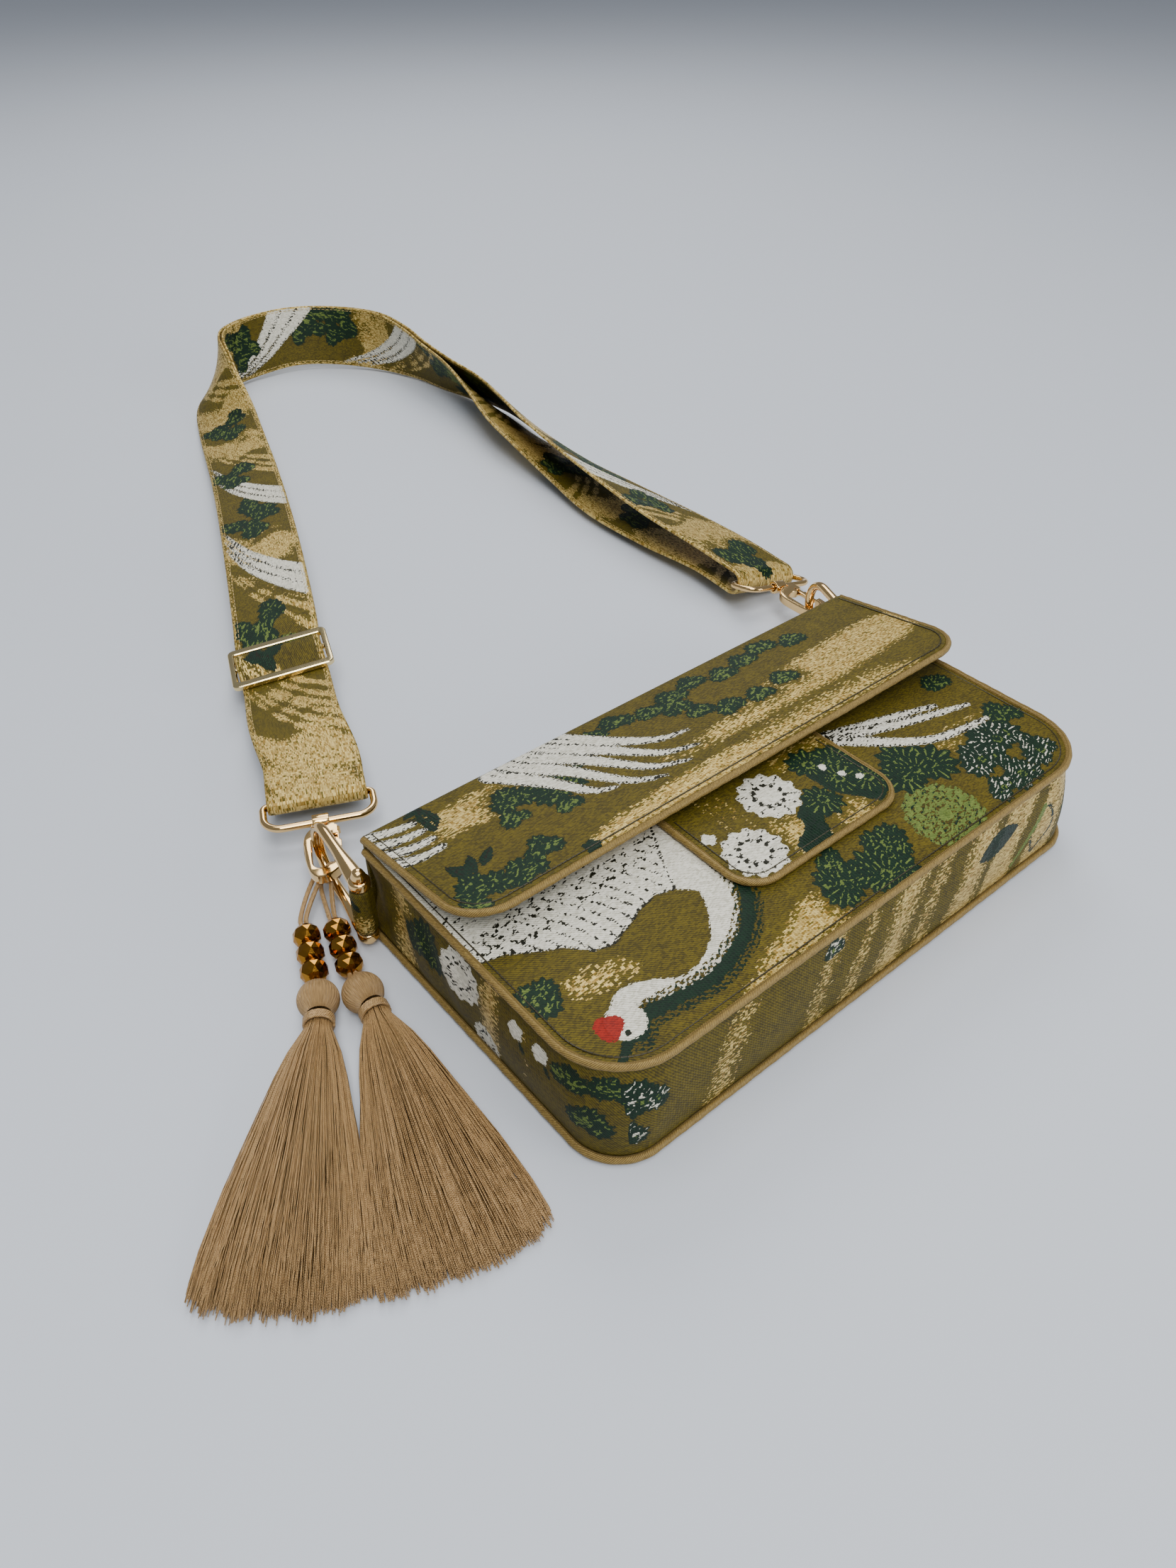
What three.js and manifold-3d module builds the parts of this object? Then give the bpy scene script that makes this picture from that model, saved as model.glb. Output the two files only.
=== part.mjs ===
// Baguette shoulder bag lying on its back, with its strap laid out in a loop and two tassels.
// Millimetres, +Z up. The origin is the middle of the back panel's outer face, on the surface it lies on.
// +X runs along the bag's bottom seam, +Y points to the fold of the flap, and the front faces up.

import * as THREE from 'three';
import { mergeVertices } from 'three/addons/utils/BufferGeometryUtils.js';
import Module from 'manifold-3d';

// Body of the bag
const bagWidth = 250;
const bagHeight = 134;
const bagDepth = 42.4;
const backExtraWidth = 1.2;
const backExtraHeight = 5.6;
const frontCornerRadius = 26;
const backCornerRadius = 19;
const clothThickness = 2.2;
const frontCrown = 3.2;
const gussetBulge = 1.6;
const gussetPinch = 4.4;
const pipingRadius = 1.5;

// Flap and the tab under it
const flapLength = 69;
const flapExtraWidth = 2.8;
const flapShift = 2.8;
const flapCornerRadius = 16.4;
const flapHingeHeight = 44.9;
const flapEdgeHeight = 55.6;
const flapCrown = 1.8;
const flapFoldRadius = 3.4;
const tabWidth = 80;
const tabLength = 39.5;
const tabTuck = 22;
const tabCornerRadius = 12;
const tabThickness = 2;

// Metal fittings
const shackleLength = 43;
const shackleSpread = 26;
const shackleWire = 4.5;
const shackleFlat = 7.6;
const shackleFlatThickness = 4;
const shackleBase = 6;
const pinDiameter = 3.8;
const pinHeadDiameter = 5.6;
const sideLoopDiameter = 8.6;
const clawLength = 33;
const clawWidth = 14.4;
const clawThickness = 4.6;
const clawSide = 1.2;
const clawGap = 8.2;
const leverThickness = 2.2;
const leverLength = 15;
const leverSwing = 1.2;
const knuckleDiameter = 6.4;
const knuckleLength = 6.6;
const ringWidth = 47;
const ringFarCorner = 2.6;
const ringDepth = 17.4;
const ringWire = 3;

// Strap and slider
const strapWidth = 40;
const strapThickness = 1.8;
const loopReach = 458;
const layerGap = 1;
const sewnTail = 45;
const foldRadius = 5.6;
const sliderLength = 31;
const sliderBar = 4;
const sliderSideBar = 2.8;
const sliderHeight = 2.6;

// Tassels
const cordDiameter = 1.9;
const beadDiameter = 10.5;
const beadLength = 8.5;
const tasselHeadDiameter = 14.6;
const tasselNeckDiameter = 8.4;
const tasselLength = 98;
const tasselSpread = 53;
const tasselLocks = 9;
const wrapThickness = 1.5;
const wrapWidth = 3.4;

// Clearance between pieces that touch
const fit = 0.35;

const brocade = new THREE.MeshStandardMaterial({ color: 0x6b6224, roughness: 0.62, metalness: 0.05 });
const goldCloth = new THREE.MeshStandardMaterial({ color: 0xa08a52, roughness: 0.5, metalness: 0.2 });
const gold = new THREE.MeshStandardMaterial({ color: 0xe0b98c, roughness: 0.16, metalness: 1 });
const paleGold = new THREE.MeshStandardMaterial({ color: 0xe8d9a8, roughness: 0.2, metalness: 1 });
const bronze = new THREE.MeshStandardMaterial({ color: 0x8a5a24, roughness: 0.15, metalness: 0.85 });
const silk = new THREE.MeshStandardMaterial({ color: 0xb08a55, roughness: 0.45, metalness: 0 });

const up = new THREE.Vector3(0, 0, 1);
const wasm = await Module();
wasm.setup();

const vec = (x, y, z = 0) => new THREE.Vector3(x, y, z);
const degrees = THREE.MathUtils.degToRad;
const mix = THREE.MathUtils.lerp;

// Direction in the floor plane, by its angle from +X
function heading(angle) {
  return vec(Math.cos(degrees(angle)), Math.sin(degrees(angle)));
}

// Point at along, across and rise from an origin, in a frame of three unit vectors
function place(frame, along, across, rise) {
  return frame.origin.clone()
    .addScaledVector(frame.t, along)
    .addScaledVector(frame.w, across)
    .addScaledVector(frame.n, rise);
}

function signedVolume(position, index) {
  const a = vec(0, 0);
  const b = vec(0, 0);
  const c = vec(0, 0);
  let total = 0;
  for (let i = 0; i < index.length; i += 3) {
    a.fromBufferAttribute(position, index[i]);
    b.fromBufferAttribute(position, index[i + 1]);
    c.fromBufferAttribute(position, index[i + 2]);
    total += a.dot(b.cross(c));
  }
  return total;
}

// Faces that close a ring of two matching sides, from its first point round to its last
function stripCap(start, count, turned) {
  const faces = [];
  for (let i = 0; i < count / 2 - 1; i++) {
    const [a, b, c, d] = [i, i + 1, count - 2 - i, count - 1 - i].map((k) => start + k);
    faces.push(...(turned ? [a, c, b, a, d, c] : [a, b, c, a, c, d]));
  }
  return faces;
}

function closedSurface(points, faces) {
  const geometry = new THREE.BufferGeometry().setFromPoints(points);
  if (signedVolume(geometry.getAttribute('position'), faces) < 0) faces.reverse();
  geometry.setIndex(faces);
  geometry.computeVertexNormals();
  return geometry;
}

// Surface through rings whose two sides match, such as the walls of a bent sheet, and its two ends.
// Both sides are split along the same diagonal, so that they keep apart where the sheet twists.
function sheet(rings) {
  const count = rings[0].length;
  const lastRing = (rings.length - 1) * count;
  const faces = [...stripCap(0, count, true), ...stripCap(lastRing, count, false)];
  for (let here = 0; here < lastRing; here += count) {
    const there = here + count;
    for (let i = 0; i < count; i++) {
      const j = (i + 1) % count;
      if (i < count / 2) faces.push(here + i, here + j, there + j, here + i, there + j, there + i);
      else faces.push(here + i, here + j, there + i, here + j, there + j, there + i);
    }
  }
  return closedSurface(rings.flat(), faces);
}

// Surface through rings of equal count, capped at both ends or joined end to end
function skin(rings, closedLoop = false) {
  const count = rings[0].length;
  const points = rings.flat();
  const faces = [];
  const last = closedLoop ? rings.length : rings.length - 1;
  for (let r = 0; r < last; r++) {
    const here = r * count;
    const there = ((r + 1) % rings.length) * count;
    for (let i = 0; i < count; i++) {
      const j = (i + 1) % count;
      faces.push(here + i, here + j, there + j, here + i, there + j, there + i);
    }
  }
  if (!closedLoop) {
    for (const [start, turned] of [[0, true], [(rings.length - 1) * count, false]]) {
      const centre = vec(0, 0);
      for (let i = 0; i < count; i++) centre.addScaledVector(points[start + i], 1 / count);
      const hub = points.push(centre) - 1;
      for (let i = 0; i < count; i++) {
        const j = (i + 1) % count;
        faces.push(hub, start + (turned ? j : i), start + (turned ? i : j));
      }
    }
  }
  return closedSurface(points, faces);
}

function toSolid(geometry) {
  const bare = geometry.clone();
  bare.deleteAttribute('normal');
  bare.deleteAttribute('uv');
  const merged = mergeVertices(bare, 1e-4);
  return new wasm.Manifold(new wasm.Mesh({
    numProp: 3,
    vertProperties: new Float32Array(merged.getAttribute('position').array),
    triVerts: new Uint32Array(merged.index.array),
  }));
}

function toGeometry(solid) {
  const mesh = solid.getMesh();
  const geometry = new THREE.BufferGeometry();
  geometry.setAttribute('position', new THREE.BufferAttribute(new Float32Array(mesh.vertProperties), 3));
  geometry.setIndex(new THREE.BufferAttribute(new Uint32Array(mesh.triVerts), 1));
  geometry.computeVertexNormals();
  return geometry;
}

// Frames that slide along a line of points without spinning
function slidingFrames(points, side, closedLoop = false) {
  const frames = [];
  const w = side.clone();
  for (let i = 0; i < points.length; i++) {
    const before = closedLoop ? points.at(i - 1) : points[Math.max(i - 1, 0)];
    const after = closedLoop ? points[(i + 1) % points.length] : points[Math.min(i + 1, points.length - 1)];
    const t = after.clone().sub(before).normalize();
    w.addScaledVector(t, -w.dot(t)).normalize();
    frames.push({ origin: points[i], t, w: w.clone(), n: vec(0, 0).crossVectors(t, w) });
  }
  return frames;
}

// Round wire or piping along a line of points
function wire(points, radius, sides, side, closedLoop = false) {
  const rings = slidingFrames(points, side, closedLoop).map((frame) => {
    const ring = [];
    for (let i = 0; i < sides; i++) {
      const turn = (i / sides) * 2 * Math.PI;
      ring.push(place(frame, 0, radius * Math.cos(turn), radius * Math.sin(turn)));
    }
    return ring;
  });
  return skin(rings, closedLoop);
}

// Arc in the floor plane from one angle to another, ends included
function arc(x, y, radius, from, to, steps) {
  const points = [];
  for (let i = 0; i <= steps; i++) {
    const turn = degrees(mix(from, to, i / steps));
    points.push(vec(x + radius * Math.cos(turn), y + radius * Math.sin(turn)));
  }
  return points;
}

// U outline: down the left side, round two corners and up the right side to the height named top
function outlineU({ width, bottom, top, radius, shift = 0, pinch = 0, steps = 7 }) {
  const half = width / 2;
  return [
    vec(shift - half + pinch, top),
    vec(shift - half, mix(top, bottom + radius, 0.5)),
    ...arc(shift - half + radius, bottom + radius, radius, 180, 270, steps),
    vec(shift, bottom),
    ...arc(shift + half - radius, bottom + radius, radius, 270, 360, steps),
    vec(shift + half, mix(top, bottom + radius, 0.5)),
    vec(shift + half - pinch, top),
  ];
}

// Cloth plate inside an outline, its top face at the height given by lift
function plate(outline, lift, thickness, shares) {
  const centre = vec(0, 0);
  for (const p of outline) centre.addScaledVector(p, 1 / outline.length);
  const ring = (share, drop) => outline.map((p) => {
    const q = centre.clone().lerp(p, share);
    return q.setZ(lift(q.x, q.y) - drop);
  });
  const below = shares.map((share) => ring(share, thickness));
  const above = [...shares].reverse().map((share) => ring(share, 0));
  return skin([...below, ...above]);
}

const backWidth = bagWidth + backExtraWidth;
const backHeight = bagHeight + backExtraHeight;
const topEdge = backHeight / 2;
const frontBottom = -bagHeight / 2;
const backBottom = -backHeight / 2;
const pipingBed = pipingRadius + fit;
const stripInside = topEdge - clothThickness - fit;

function frontHeight(x, y) {
  const across = Math.min(Math.abs(2 * x / bagWidth), 1);
  const upward = Math.min(Math.abs(2 * y / bagHeight), 1);
  return bagDepth + frontCrown * (1 - across ** 4) * (1 - upward ** 4);
}

function backPanel() {
  const outline = outlineU({
    width: backWidth - 2 * pipingBed,
    bottom: backBottom + pipingBed,
    top: topEdge,
    radius: backCornerRadius - pipingBed,
  });
  return plate(outline, () => clothThickness, clothThickness, [0.5, 1]);
}

function frontPanel() {
  const outline = outlineU({
    width: bagWidth - 2 * pipingBed,
    bottom: frontBottom + pipingBed,
    top: stripInside - fit - clothThickness,
    radius: frontCornerRadius - pipingBed,
  });
  return plate(outline, frontHeight, clothThickness, [0.3, 0.55, 0.8, 0.93, 1]);
}

// Wall round the two sides and the bottom, slanting from the back outline to the smaller front one
function gusset() {
  const low = 2 * pipingRadius + 2 * fit;
  const high = bagDepth - clothThickness - fit;
  const rows = [
    { share: 0, bulge: 0, pinch: 0 },
    { share: 0.5, bulge: gussetBulge, pinch: gussetPinch },
    { share: 1, bulge: 0, pinch: 0 },
  ];
  const lines = rows.map(({ share, bulge, pinch }) => {
    const line = (inset) => outlineU({
      width: mix(backWidth, bagWidth, share) + 2 * (bulge - inset),
      bottom: mix(backBottom, frontBottom, share) - bulge + inset,
      top: stripInside - fit,
      radius: mix(backCornerRadius, frontCornerRadius, share) + bulge - inset,
      pinch,
    }).map((p) => p.setZ(mix(low, high, share)));
    return { outer: line(0), inner: line(clothThickness) };
  });
  const rings = lines[0].outer.map((_, i) => [
    ...lines.map((line) => line.outer[i]),
    ...[...lines].reverse().map((line) => line.inner[i]),
  ]);
  return sheet(rings);
}

function frontPiping() {
  const outline = outlineU({
    width: bagWidth,
    bottom: frontBottom,
    top: bagHeight / 2 - 2 * pipingRadius,
    radius: frontCornerRadius,
  });
  return wire(outline.map((p) => p.setZ(bagDepth)), pipingRadius, 8, vec(1, 0));
}

function backPiping() {
  const outline = outlineU({
    width: backWidth,
    bottom: backBottom,
    top: stripInside - fit,
    radius: backCornerRadius,
  });
  return wire(outline.map((p) => p.setZ(pipingRadius + fit)), pipingRadius, 8, vec(1, 0));
}

const flapWidth = bagWidth + flapExtraWidth;
const flapFree = topEdge - flapLength;

// Middle height of the flap's cloth over a point of the front
function flapHeight(x, y) {
  const share = THREE.MathUtils.clamp((topEdge - y) / flapLength, 0, 1);
  const across = Math.min(Math.abs(2 * (x - flapShift) / flapWidth), 1);
  const crown = flapCrown * Math.sin(Math.PI * share) * (1 - across ** 4);
  return mix(flapHingeHeight, flapEdgeHeight, share) + crown;
}

// Flap in one piece with the strip that covers the top: up from the back panel, over and down the front
function flap() {
  const halfCloth = clothThickness / 2;
  const inset = flapWidth / 2 - pipingBed;
  const corner = flapCornerRadius - pipingBed;
  const stationShares = [0, 0.04, 0.15, 0.33, 0.6, 1];
  const left = stationShares.map((share) => share * corner);
  const stations = [...left, inset, ...left.map((d) => 2 * inset - d).reverse()];
  const rings = stations.map((d) => {
    const x = flapShift - inset + d;
    const fromSide = Math.min(d, 2 * inset - d, corner);
    const pull = corner - Math.sqrt(corner ** 2 - (corner - fromSide) ** 2);
    const free = flapFree + pipingBed + pull;
    const foldY = topEdge - halfCloth - flapFoldRadius;
    const foldZ = flapHeight(x, foldY) - flapFoldRadius;
    const outer = [vec(x, topEdge, clothThickness + fit), vec(x, topEdge, foldZ)];
    const inner = [vec(x, topEdge - clothThickness, clothThickness + fit), vec(x, topEdge - clothThickness, foldZ)];
    for (const angle of [35, 70]) {
      const reach = heading(angle);
      const outerR = flapFoldRadius + halfCloth;
      const innerR = flapFoldRadius - halfCloth;
      outer.push(vec(x, foldY + outerR * reach.x, foldZ + outerR * reach.y));
      inner.push(vec(x, foldY + innerR * reach.x, foldZ + innerR * reach.y));
    }
    for (const share of [0.06, 0.35, 0.7, 1]) {
      const y = mix(foldY, free, share);
      outer.push(vec(x, y, flapHeight(x, y) + halfCloth));
      inner.push(vec(x, y, flapHeight(x, y) - halfCloth));
    }
    return [...outer, ...inner.reverse()];
  });
  return sheet(rings);
}

function flapPiping() {
  const outline = outlineU({
    width: flapWidth,
    bottom: flapFree,
    top: topEdge - flapFoldRadius,
    radius: flapCornerRadius,
    shift: flapShift,
  });
  return wire(outline.map((p) => p.setZ(flapHeight(p.x, p.y))), pipingRadius, 8, vec(1, 0));
}

const tabSink = fit + pipingRadius;

function tabOutline(inset) {
  return outlineU({
    width: tabWidth - 2 * inset,
    bottom: -tabLength + inset,
    top: tabTuck,
    radius: tabCornerRadius - inset,
    shift: 1,
    steps: 5,
  });
}

function closureTab() {
  const lift = (x, y) => frontHeight(x, y) + tabSink + tabThickness / 2;
  return plate(tabOutline(pipingBed), lift, tabThickness, [0.5, 1]);
}

function tabPiping() {
  const outline = tabOutline(0).map((p) => p.setZ(frontHeight(p.x, p.y) + tabSink));
  return wire(outline, pipingRadius, 8, vec(1, 0));
}

// Each side: how far its pin stands off the side and below the top edge, how its shackle, claw and ring
// lie, and how the ring tilts. seat is how far along the claw the shackle's wire passes through it.
const sides = {
  left: {
    sign: -1, pinOut: 5.1, pinDown: 8.2, shackle: 83, seat: 16.5, claw: 243, clawHeight: 14,
    ring: 66, ringShift: 0, ringTilt: 0, ringPitch: 0,
  },
  right: {
    sign: 1, pinOut: 11.3, pinDown: 8.2, shackle: 68, seat: 24.2, claw: 266, clawHeight: 14.4,
    ring: 88, ringShift: 3, ringTilt: 13, ringPitch: -12,
  },
};

for (const side of Object.values(sides)) {
  side.pin = vec(side.sign * (bagWidth / 2 + side.pinOut), topEdge - side.pinDown);
  side.archHeight = shackleBase + shackleSpread / 2;
  const archRadius = shackleSpread / 2;
  const archReach = shackleLength - archRadius + Math.sqrt(archRadius ** 2 - (side.archHeight - side.clawHeight) ** 2);
  side.clawTurn = degrees(side.claw);
  side.knuckle = side.pin.clone()
    .addScaledVector(heading(side.shackle), archReach)
    .setZ(side.clawHeight)
    .addScaledVector(heading(side.claw), -side.seat)
    .addScaledVector(heading(side.claw + 90), clawSide);
  const flatT = heading(side.ring);
  const flatW = heading(side.ring + 90);
  const tilt = degrees(side.ringTilt);
  const pitch = degrees(side.ringPitch);
  const t = flatT.clone().multiplyScalar(Math.cos(pitch)).addScaledVector(up, Math.sin(pitch));
  const w = flatW.clone().multiplyScalar(Math.cos(tilt)).addScaledVector(up, Math.sin(tilt));
  w.addScaledVector(t, -w.dot(t)).normalize();
  const n = vec(0, 0).crossVectors(t, w);
  const reach = (ringDepth - ringWire) / 2;
  const origin = side.knuckle.clone().addScaledVector(t, reach).addScaledVector(w, -side.ringShift);
  side.ringFrame = { origin, t, w, n };
  side.bar = place(side.ringFrame, reach, 0, 0);
}

// U of wire in an upright plane, thin at its arch and flattened at the two eyes for the pin
function shackle(side) {
  const t = heading(side.shackle);
  const across = heading(side.shackle - 90);
  const radius = shackleSpread / 2;
  const straight = shackleLength - radius;
  const rows = [];
  const half = [
    { along: 0, wide: shackleFlat, thick: shackleFlatThickness },
    { along: 0.35, wide: shackleFlat * 0.9, thick: shackleFlatThickness },
    { along: 1, wide: shackleWire * 1.1, thick: shackleWire },
  ];
  for (const row of half) rows.push({ ...row, point: [row.along * straight, -radius], turn: 0 });
  for (let angle = -72; angle <= 72; angle += 18) {
    const reach = heading(angle);
    const point = [straight + radius * reach.x, radius * reach.y];
    rows.push({ wide: shackleWire, thick: shackleWire, point, turn: 90 + angle });
  }
  for (const row of [...half].reverse()) rows.push({ ...row, point: [row.along * straight, radius], turn: 180 });
  const rings = rows.map(({ wide, thick, point, turn }) => {
    const centre = side.pin.clone().addScaledVector(t, point[0]).setZ(side.archHeight + point[1]);
    const outward = t.clone().multiplyScalar(Math.sin(degrees(turn))).addScaledVector(up, -Math.cos(degrees(turn)));
    const ring = [];
    for (let i = 0; i < 10; i++) {
      const spin = (i / 10) * 2 * Math.PI;
      ring.push(centre.clone()
        .addScaledVector(across, wide / 2 * Math.cos(spin))
        .addScaledVector(outward, thick / 2 * Math.sin(spin)));
    }
    return ring;
  });
  let solid = toSolid(skin(rings));
  for (const end of [-1, 1]) {
    const eye = upright(side.pin, shackleFlat / 2 + 0.2, shackleFlatThickness * 0.94, side.archHeight + end * radius);
    solid = solid.add(toSolid(eye));
  }
  const bore = upright(side.pin, pinDiameter / 2 + fit, shackleSpread + 3 * shackleFlatThickness, side.archHeight);
  return toGeometry(solid.subtract(toSolid(bore)));
}

// Upright cylinder whose middle is at the given height over a point
function upright(point, radius, length, height) {
  return new THREE.CylinderGeometry(radius, radius, length, 16)
    .rotateX(Math.PI / 2)
    .translate(point.x, point.y, height);
}

// Screw pin with a domed head above the upper eye and a plain foot under the lower one
function shacklePin(side) {
  const eyeTop = shackleSpread / 2 + shackleFlatThickness / 2 + fit;
  const foot = side.archHeight - eyeTop;
  const head = pinHeadDiameter / 2;
  const profile = [
    [0, foot - 0.9], [pinDiameter / 2 + 0.9, foot - 0.9], [pinDiameter / 2 + 0.9, foot],
    [pinDiameter / 2, foot], [pinDiameter / 2, side.archHeight + eyeTop],
    [head, side.archHeight + eyeTop], [head, side.archHeight + eyeTop + head * 0.5],
    [head * 0.7, side.archHeight + eyeTop + head * 1.2], [0, side.archHeight + eyeTop + head * 1.5],
  ].map(([x, y]) => new THREE.Vector2(x, y));
  return new THREE.LatheGeometry(profile, 14).rotateX(Math.PI / 2).translate(side.pin.x, side.pin.y, 0);
}

// Fabric loop round the pin, between the two eyes, with a stem sewn to the gusset
function sideLoop(side) {
  const tall = shackleSpread - shackleFlatThickness - 2 * fit;
  const body = toSolid(upright(side.pin, sideLoopDiameter / 2, tall, side.archHeight));
  const bore = toSolid(upright(side.pin, pinDiameter / 2 + fit, 2 * tall, side.archHeight));
  const wall = mix(backWidth, bagWidth, 0.5) / 2 + gussetBulge + fit;
  const half = sideLoopDiameter * 0.3;
  const anchorY = stripInside - 2 * fit - 2 * half;
  const shape = new THREE.Shape([
    new THREE.Vector2(side.sign * wall, anchorY - half),
    new THREE.Vector2(side.sign * wall, anchorY + half),
    new THREE.Vector2(side.pin.x, side.pin.y + half * 1.4),
    new THREE.Vector2(side.pin.x, side.pin.y - half * 1.4),
  ]);
  const stem = new THREE.ExtrudeGeometry(shape, { depth: tall, bevelEnabled: false })
    .translate(0, 0, side.archHeight - tall / 2);
  return toGeometry(body.add(toSolid(stem)).subtract(bore));
}

// Wire ring with tight corners at the bar that the strap folds over and round ones at the claw
function strapRing(side) {
  const reach = (ringDepth - ringWire) / 2;
  const half = (ringWidth - ringWire) / 2;
  const points = [
    ...arc(reach - ringFarCorner, half - ringFarCorner, ringFarCorner, 0, 90, 4),
    ...arc(0, half - reach, reach, 90, 180, 5),
    ...arc(0, reach - half, reach, 180, 270, 5),
    ...arc(reach - ringFarCorner, ringFarCorner - half, ringFarCorner, 270, 360, 4),
  ].map((p) => place(side.ringFrame, p.x, p.y, 0));
  return wire(points, ringWire / 2, 8, side.ringFrame.n, true);
}

// Turns a shape that is drawn along its own +X, thickness along Z, into the claw's place
function intoClaw(geometry, side) {
  return geometry.rotateZ(side.clawTurn).translate(side.knuckle.x, side.knuckle.y, side.clawHeight);
}

const clawHinge = { along: 7.6, across: clawGap / 2 + leverThickness / 2 + 0.2 };

// Flat hook with a swivel knuckle: its back is one curved arm, and its mouth is shut by the lever
function clawHook(side) {
  const half = clawWidth / 2;
  const outer = new THREE.Shape();
  outer.moveTo(4.6, -1.9);
  outer.quadraticCurveTo(6.5, -half, 14, -half);
  outer.quadraticCurveTo(clawLength - 3, -half, clawLength, -half * 0.35);
  outer.quadraticCurveTo(clawLength + 0.6, half * 0.25, clawLength - 3, half * 0.72);
  outer.quadraticCurveTo(clawLength - 4.6, half, clawLength - 7.6, half);
  outer.lineTo(6.2, half);
  outer.quadraticCurveTo(5, half * 0.7, 4.6, 1.9);
  const eye = new THREE.Path();
  const near = 9.6;
  const far = clawLength - 5;
  eye.moveTo(near + 2, clawGap / 2);
  eye.quadraticCurveTo(near - 1.4, 0, near + 3, -clawGap / 2);
  eye.lineTo(far - 4, -clawGap / 2);
  eye.quadraticCurveTo(far + 1.2, -clawGap / 2, far, 0.6);
  eye.quadraticCurveTo(far - 0.8, clawGap / 2, far - 3, clawGap / 2);
  outer.holes.push(eye);
  const plateShape = new THREE.ExtrudeGeometry(outer, {
    depth: clawThickness - 1,
    bevelThickness: 0.5,
    bevelSize: 0.4,
    bevelOffset: -0.4,
    bevelSegments: 1,
    curveSegments: 6,
  }).translate(0, 0, -(clawThickness - 1) / 2);
  const mouthStart = clawHinge.along - leverThickness / 2 - fit;
  const mouthEnd = clawHinge.along + leverLength + fit;
  const mouthSide = clawHinge.across - leverThickness / 2 - leverSwing;
  const mouth = new THREE.BoxGeometry(mouthEnd - mouthStart, clawWidth, 2 * clawThickness)
    .translate((mouthStart + mouthEnd) / 2, mouthSide + clawWidth / 2, 0);
  const neckStart = knuckleDiameter / 2 + fit;
  const neckEnd = neckStart + 2.6;
  const neck = new THREE.CylinderGeometry(1.5, 1.7, neckEnd - neckStart, 12)
    .rotateZ(Math.PI / 2)
    .translate((neckStart + neckEnd) / 2, 0, 0);
  const cheek = new THREE.BoxGeometry(5, 2.6, 1).translate(clawHinge.along, clawHinge.across - 0.6, 0);
  let solid = toSolid(plateShape).subtract(toSolid(mouth)).add(toSolid(neck));
  for (const end of [-1, 1]) {
    const height = end * (clawThickness - 1) / 2;
    solid = solid.add(toSolid(cheek.clone().translate(0, 0, height)));
    const shoulder = new THREE.BoxGeometry(5, 2.6, 1).translate(clawHinge.along - 1.6, clawHinge.across - 1.6, height);
    solid = solid.add(toSolid(shoulder));
  }
  return intoClaw(toGeometry(solid), side);
}

// Knuckle that wraps the ring's near bar and holds the claw's neck
function clawKnuckle(side) {
  const { w } = side.ringFrame;
  const barrel = new THREE.CylinderGeometry(knuckleDiameter / 2, knuckleDiameter / 2, knuckleLength, 16);
  const bore = new THREE.CylinderGeometry(ringWire / 2 + fit, ringWire / 2 + fit, 2 * knuckleLength, 16);
  const turn = new THREE.Quaternion().setFromUnitVectors(vec(0, 1), w);
  for (const g of [barrel, bore]) {
    g.applyQuaternion(turn).translate(side.knuckle.x, side.knuckle.y, side.clawHeight);
  }
  return toGeometry(toSolid(barrel).subtract(toSolid(bore)));
}

// Sprung lever that shuts the mouth, drawn shut
function clawLever(side) {
  const height = clawThickness - 2 - 2 * fit;
  const arm = new THREE.BoxGeometry(leverLength - leverThickness / 2, leverThickness, height)
    .translate(clawHinge.along + (leverLength - leverThickness / 2) / 2, clawHinge.across, 0);
  const root = new THREE.CylinderGeometry(leverThickness / 2, leverThickness / 2, height, 12)
    .rotateX(Math.PI / 2)
    .translate(clawHinge.along, clawHinge.across, 0);
  const thumb = new THREE.BoxGeometry(4, 1.6, height)
    .translate(clawHinge.along + leverLength * 0.45, clawHinge.across + leverThickness / 2, 0);
  return intoClaw(toGeometry(toSolid(arm).add(toSolid(root)).add(toSolid(thumb))), side);
}

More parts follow.
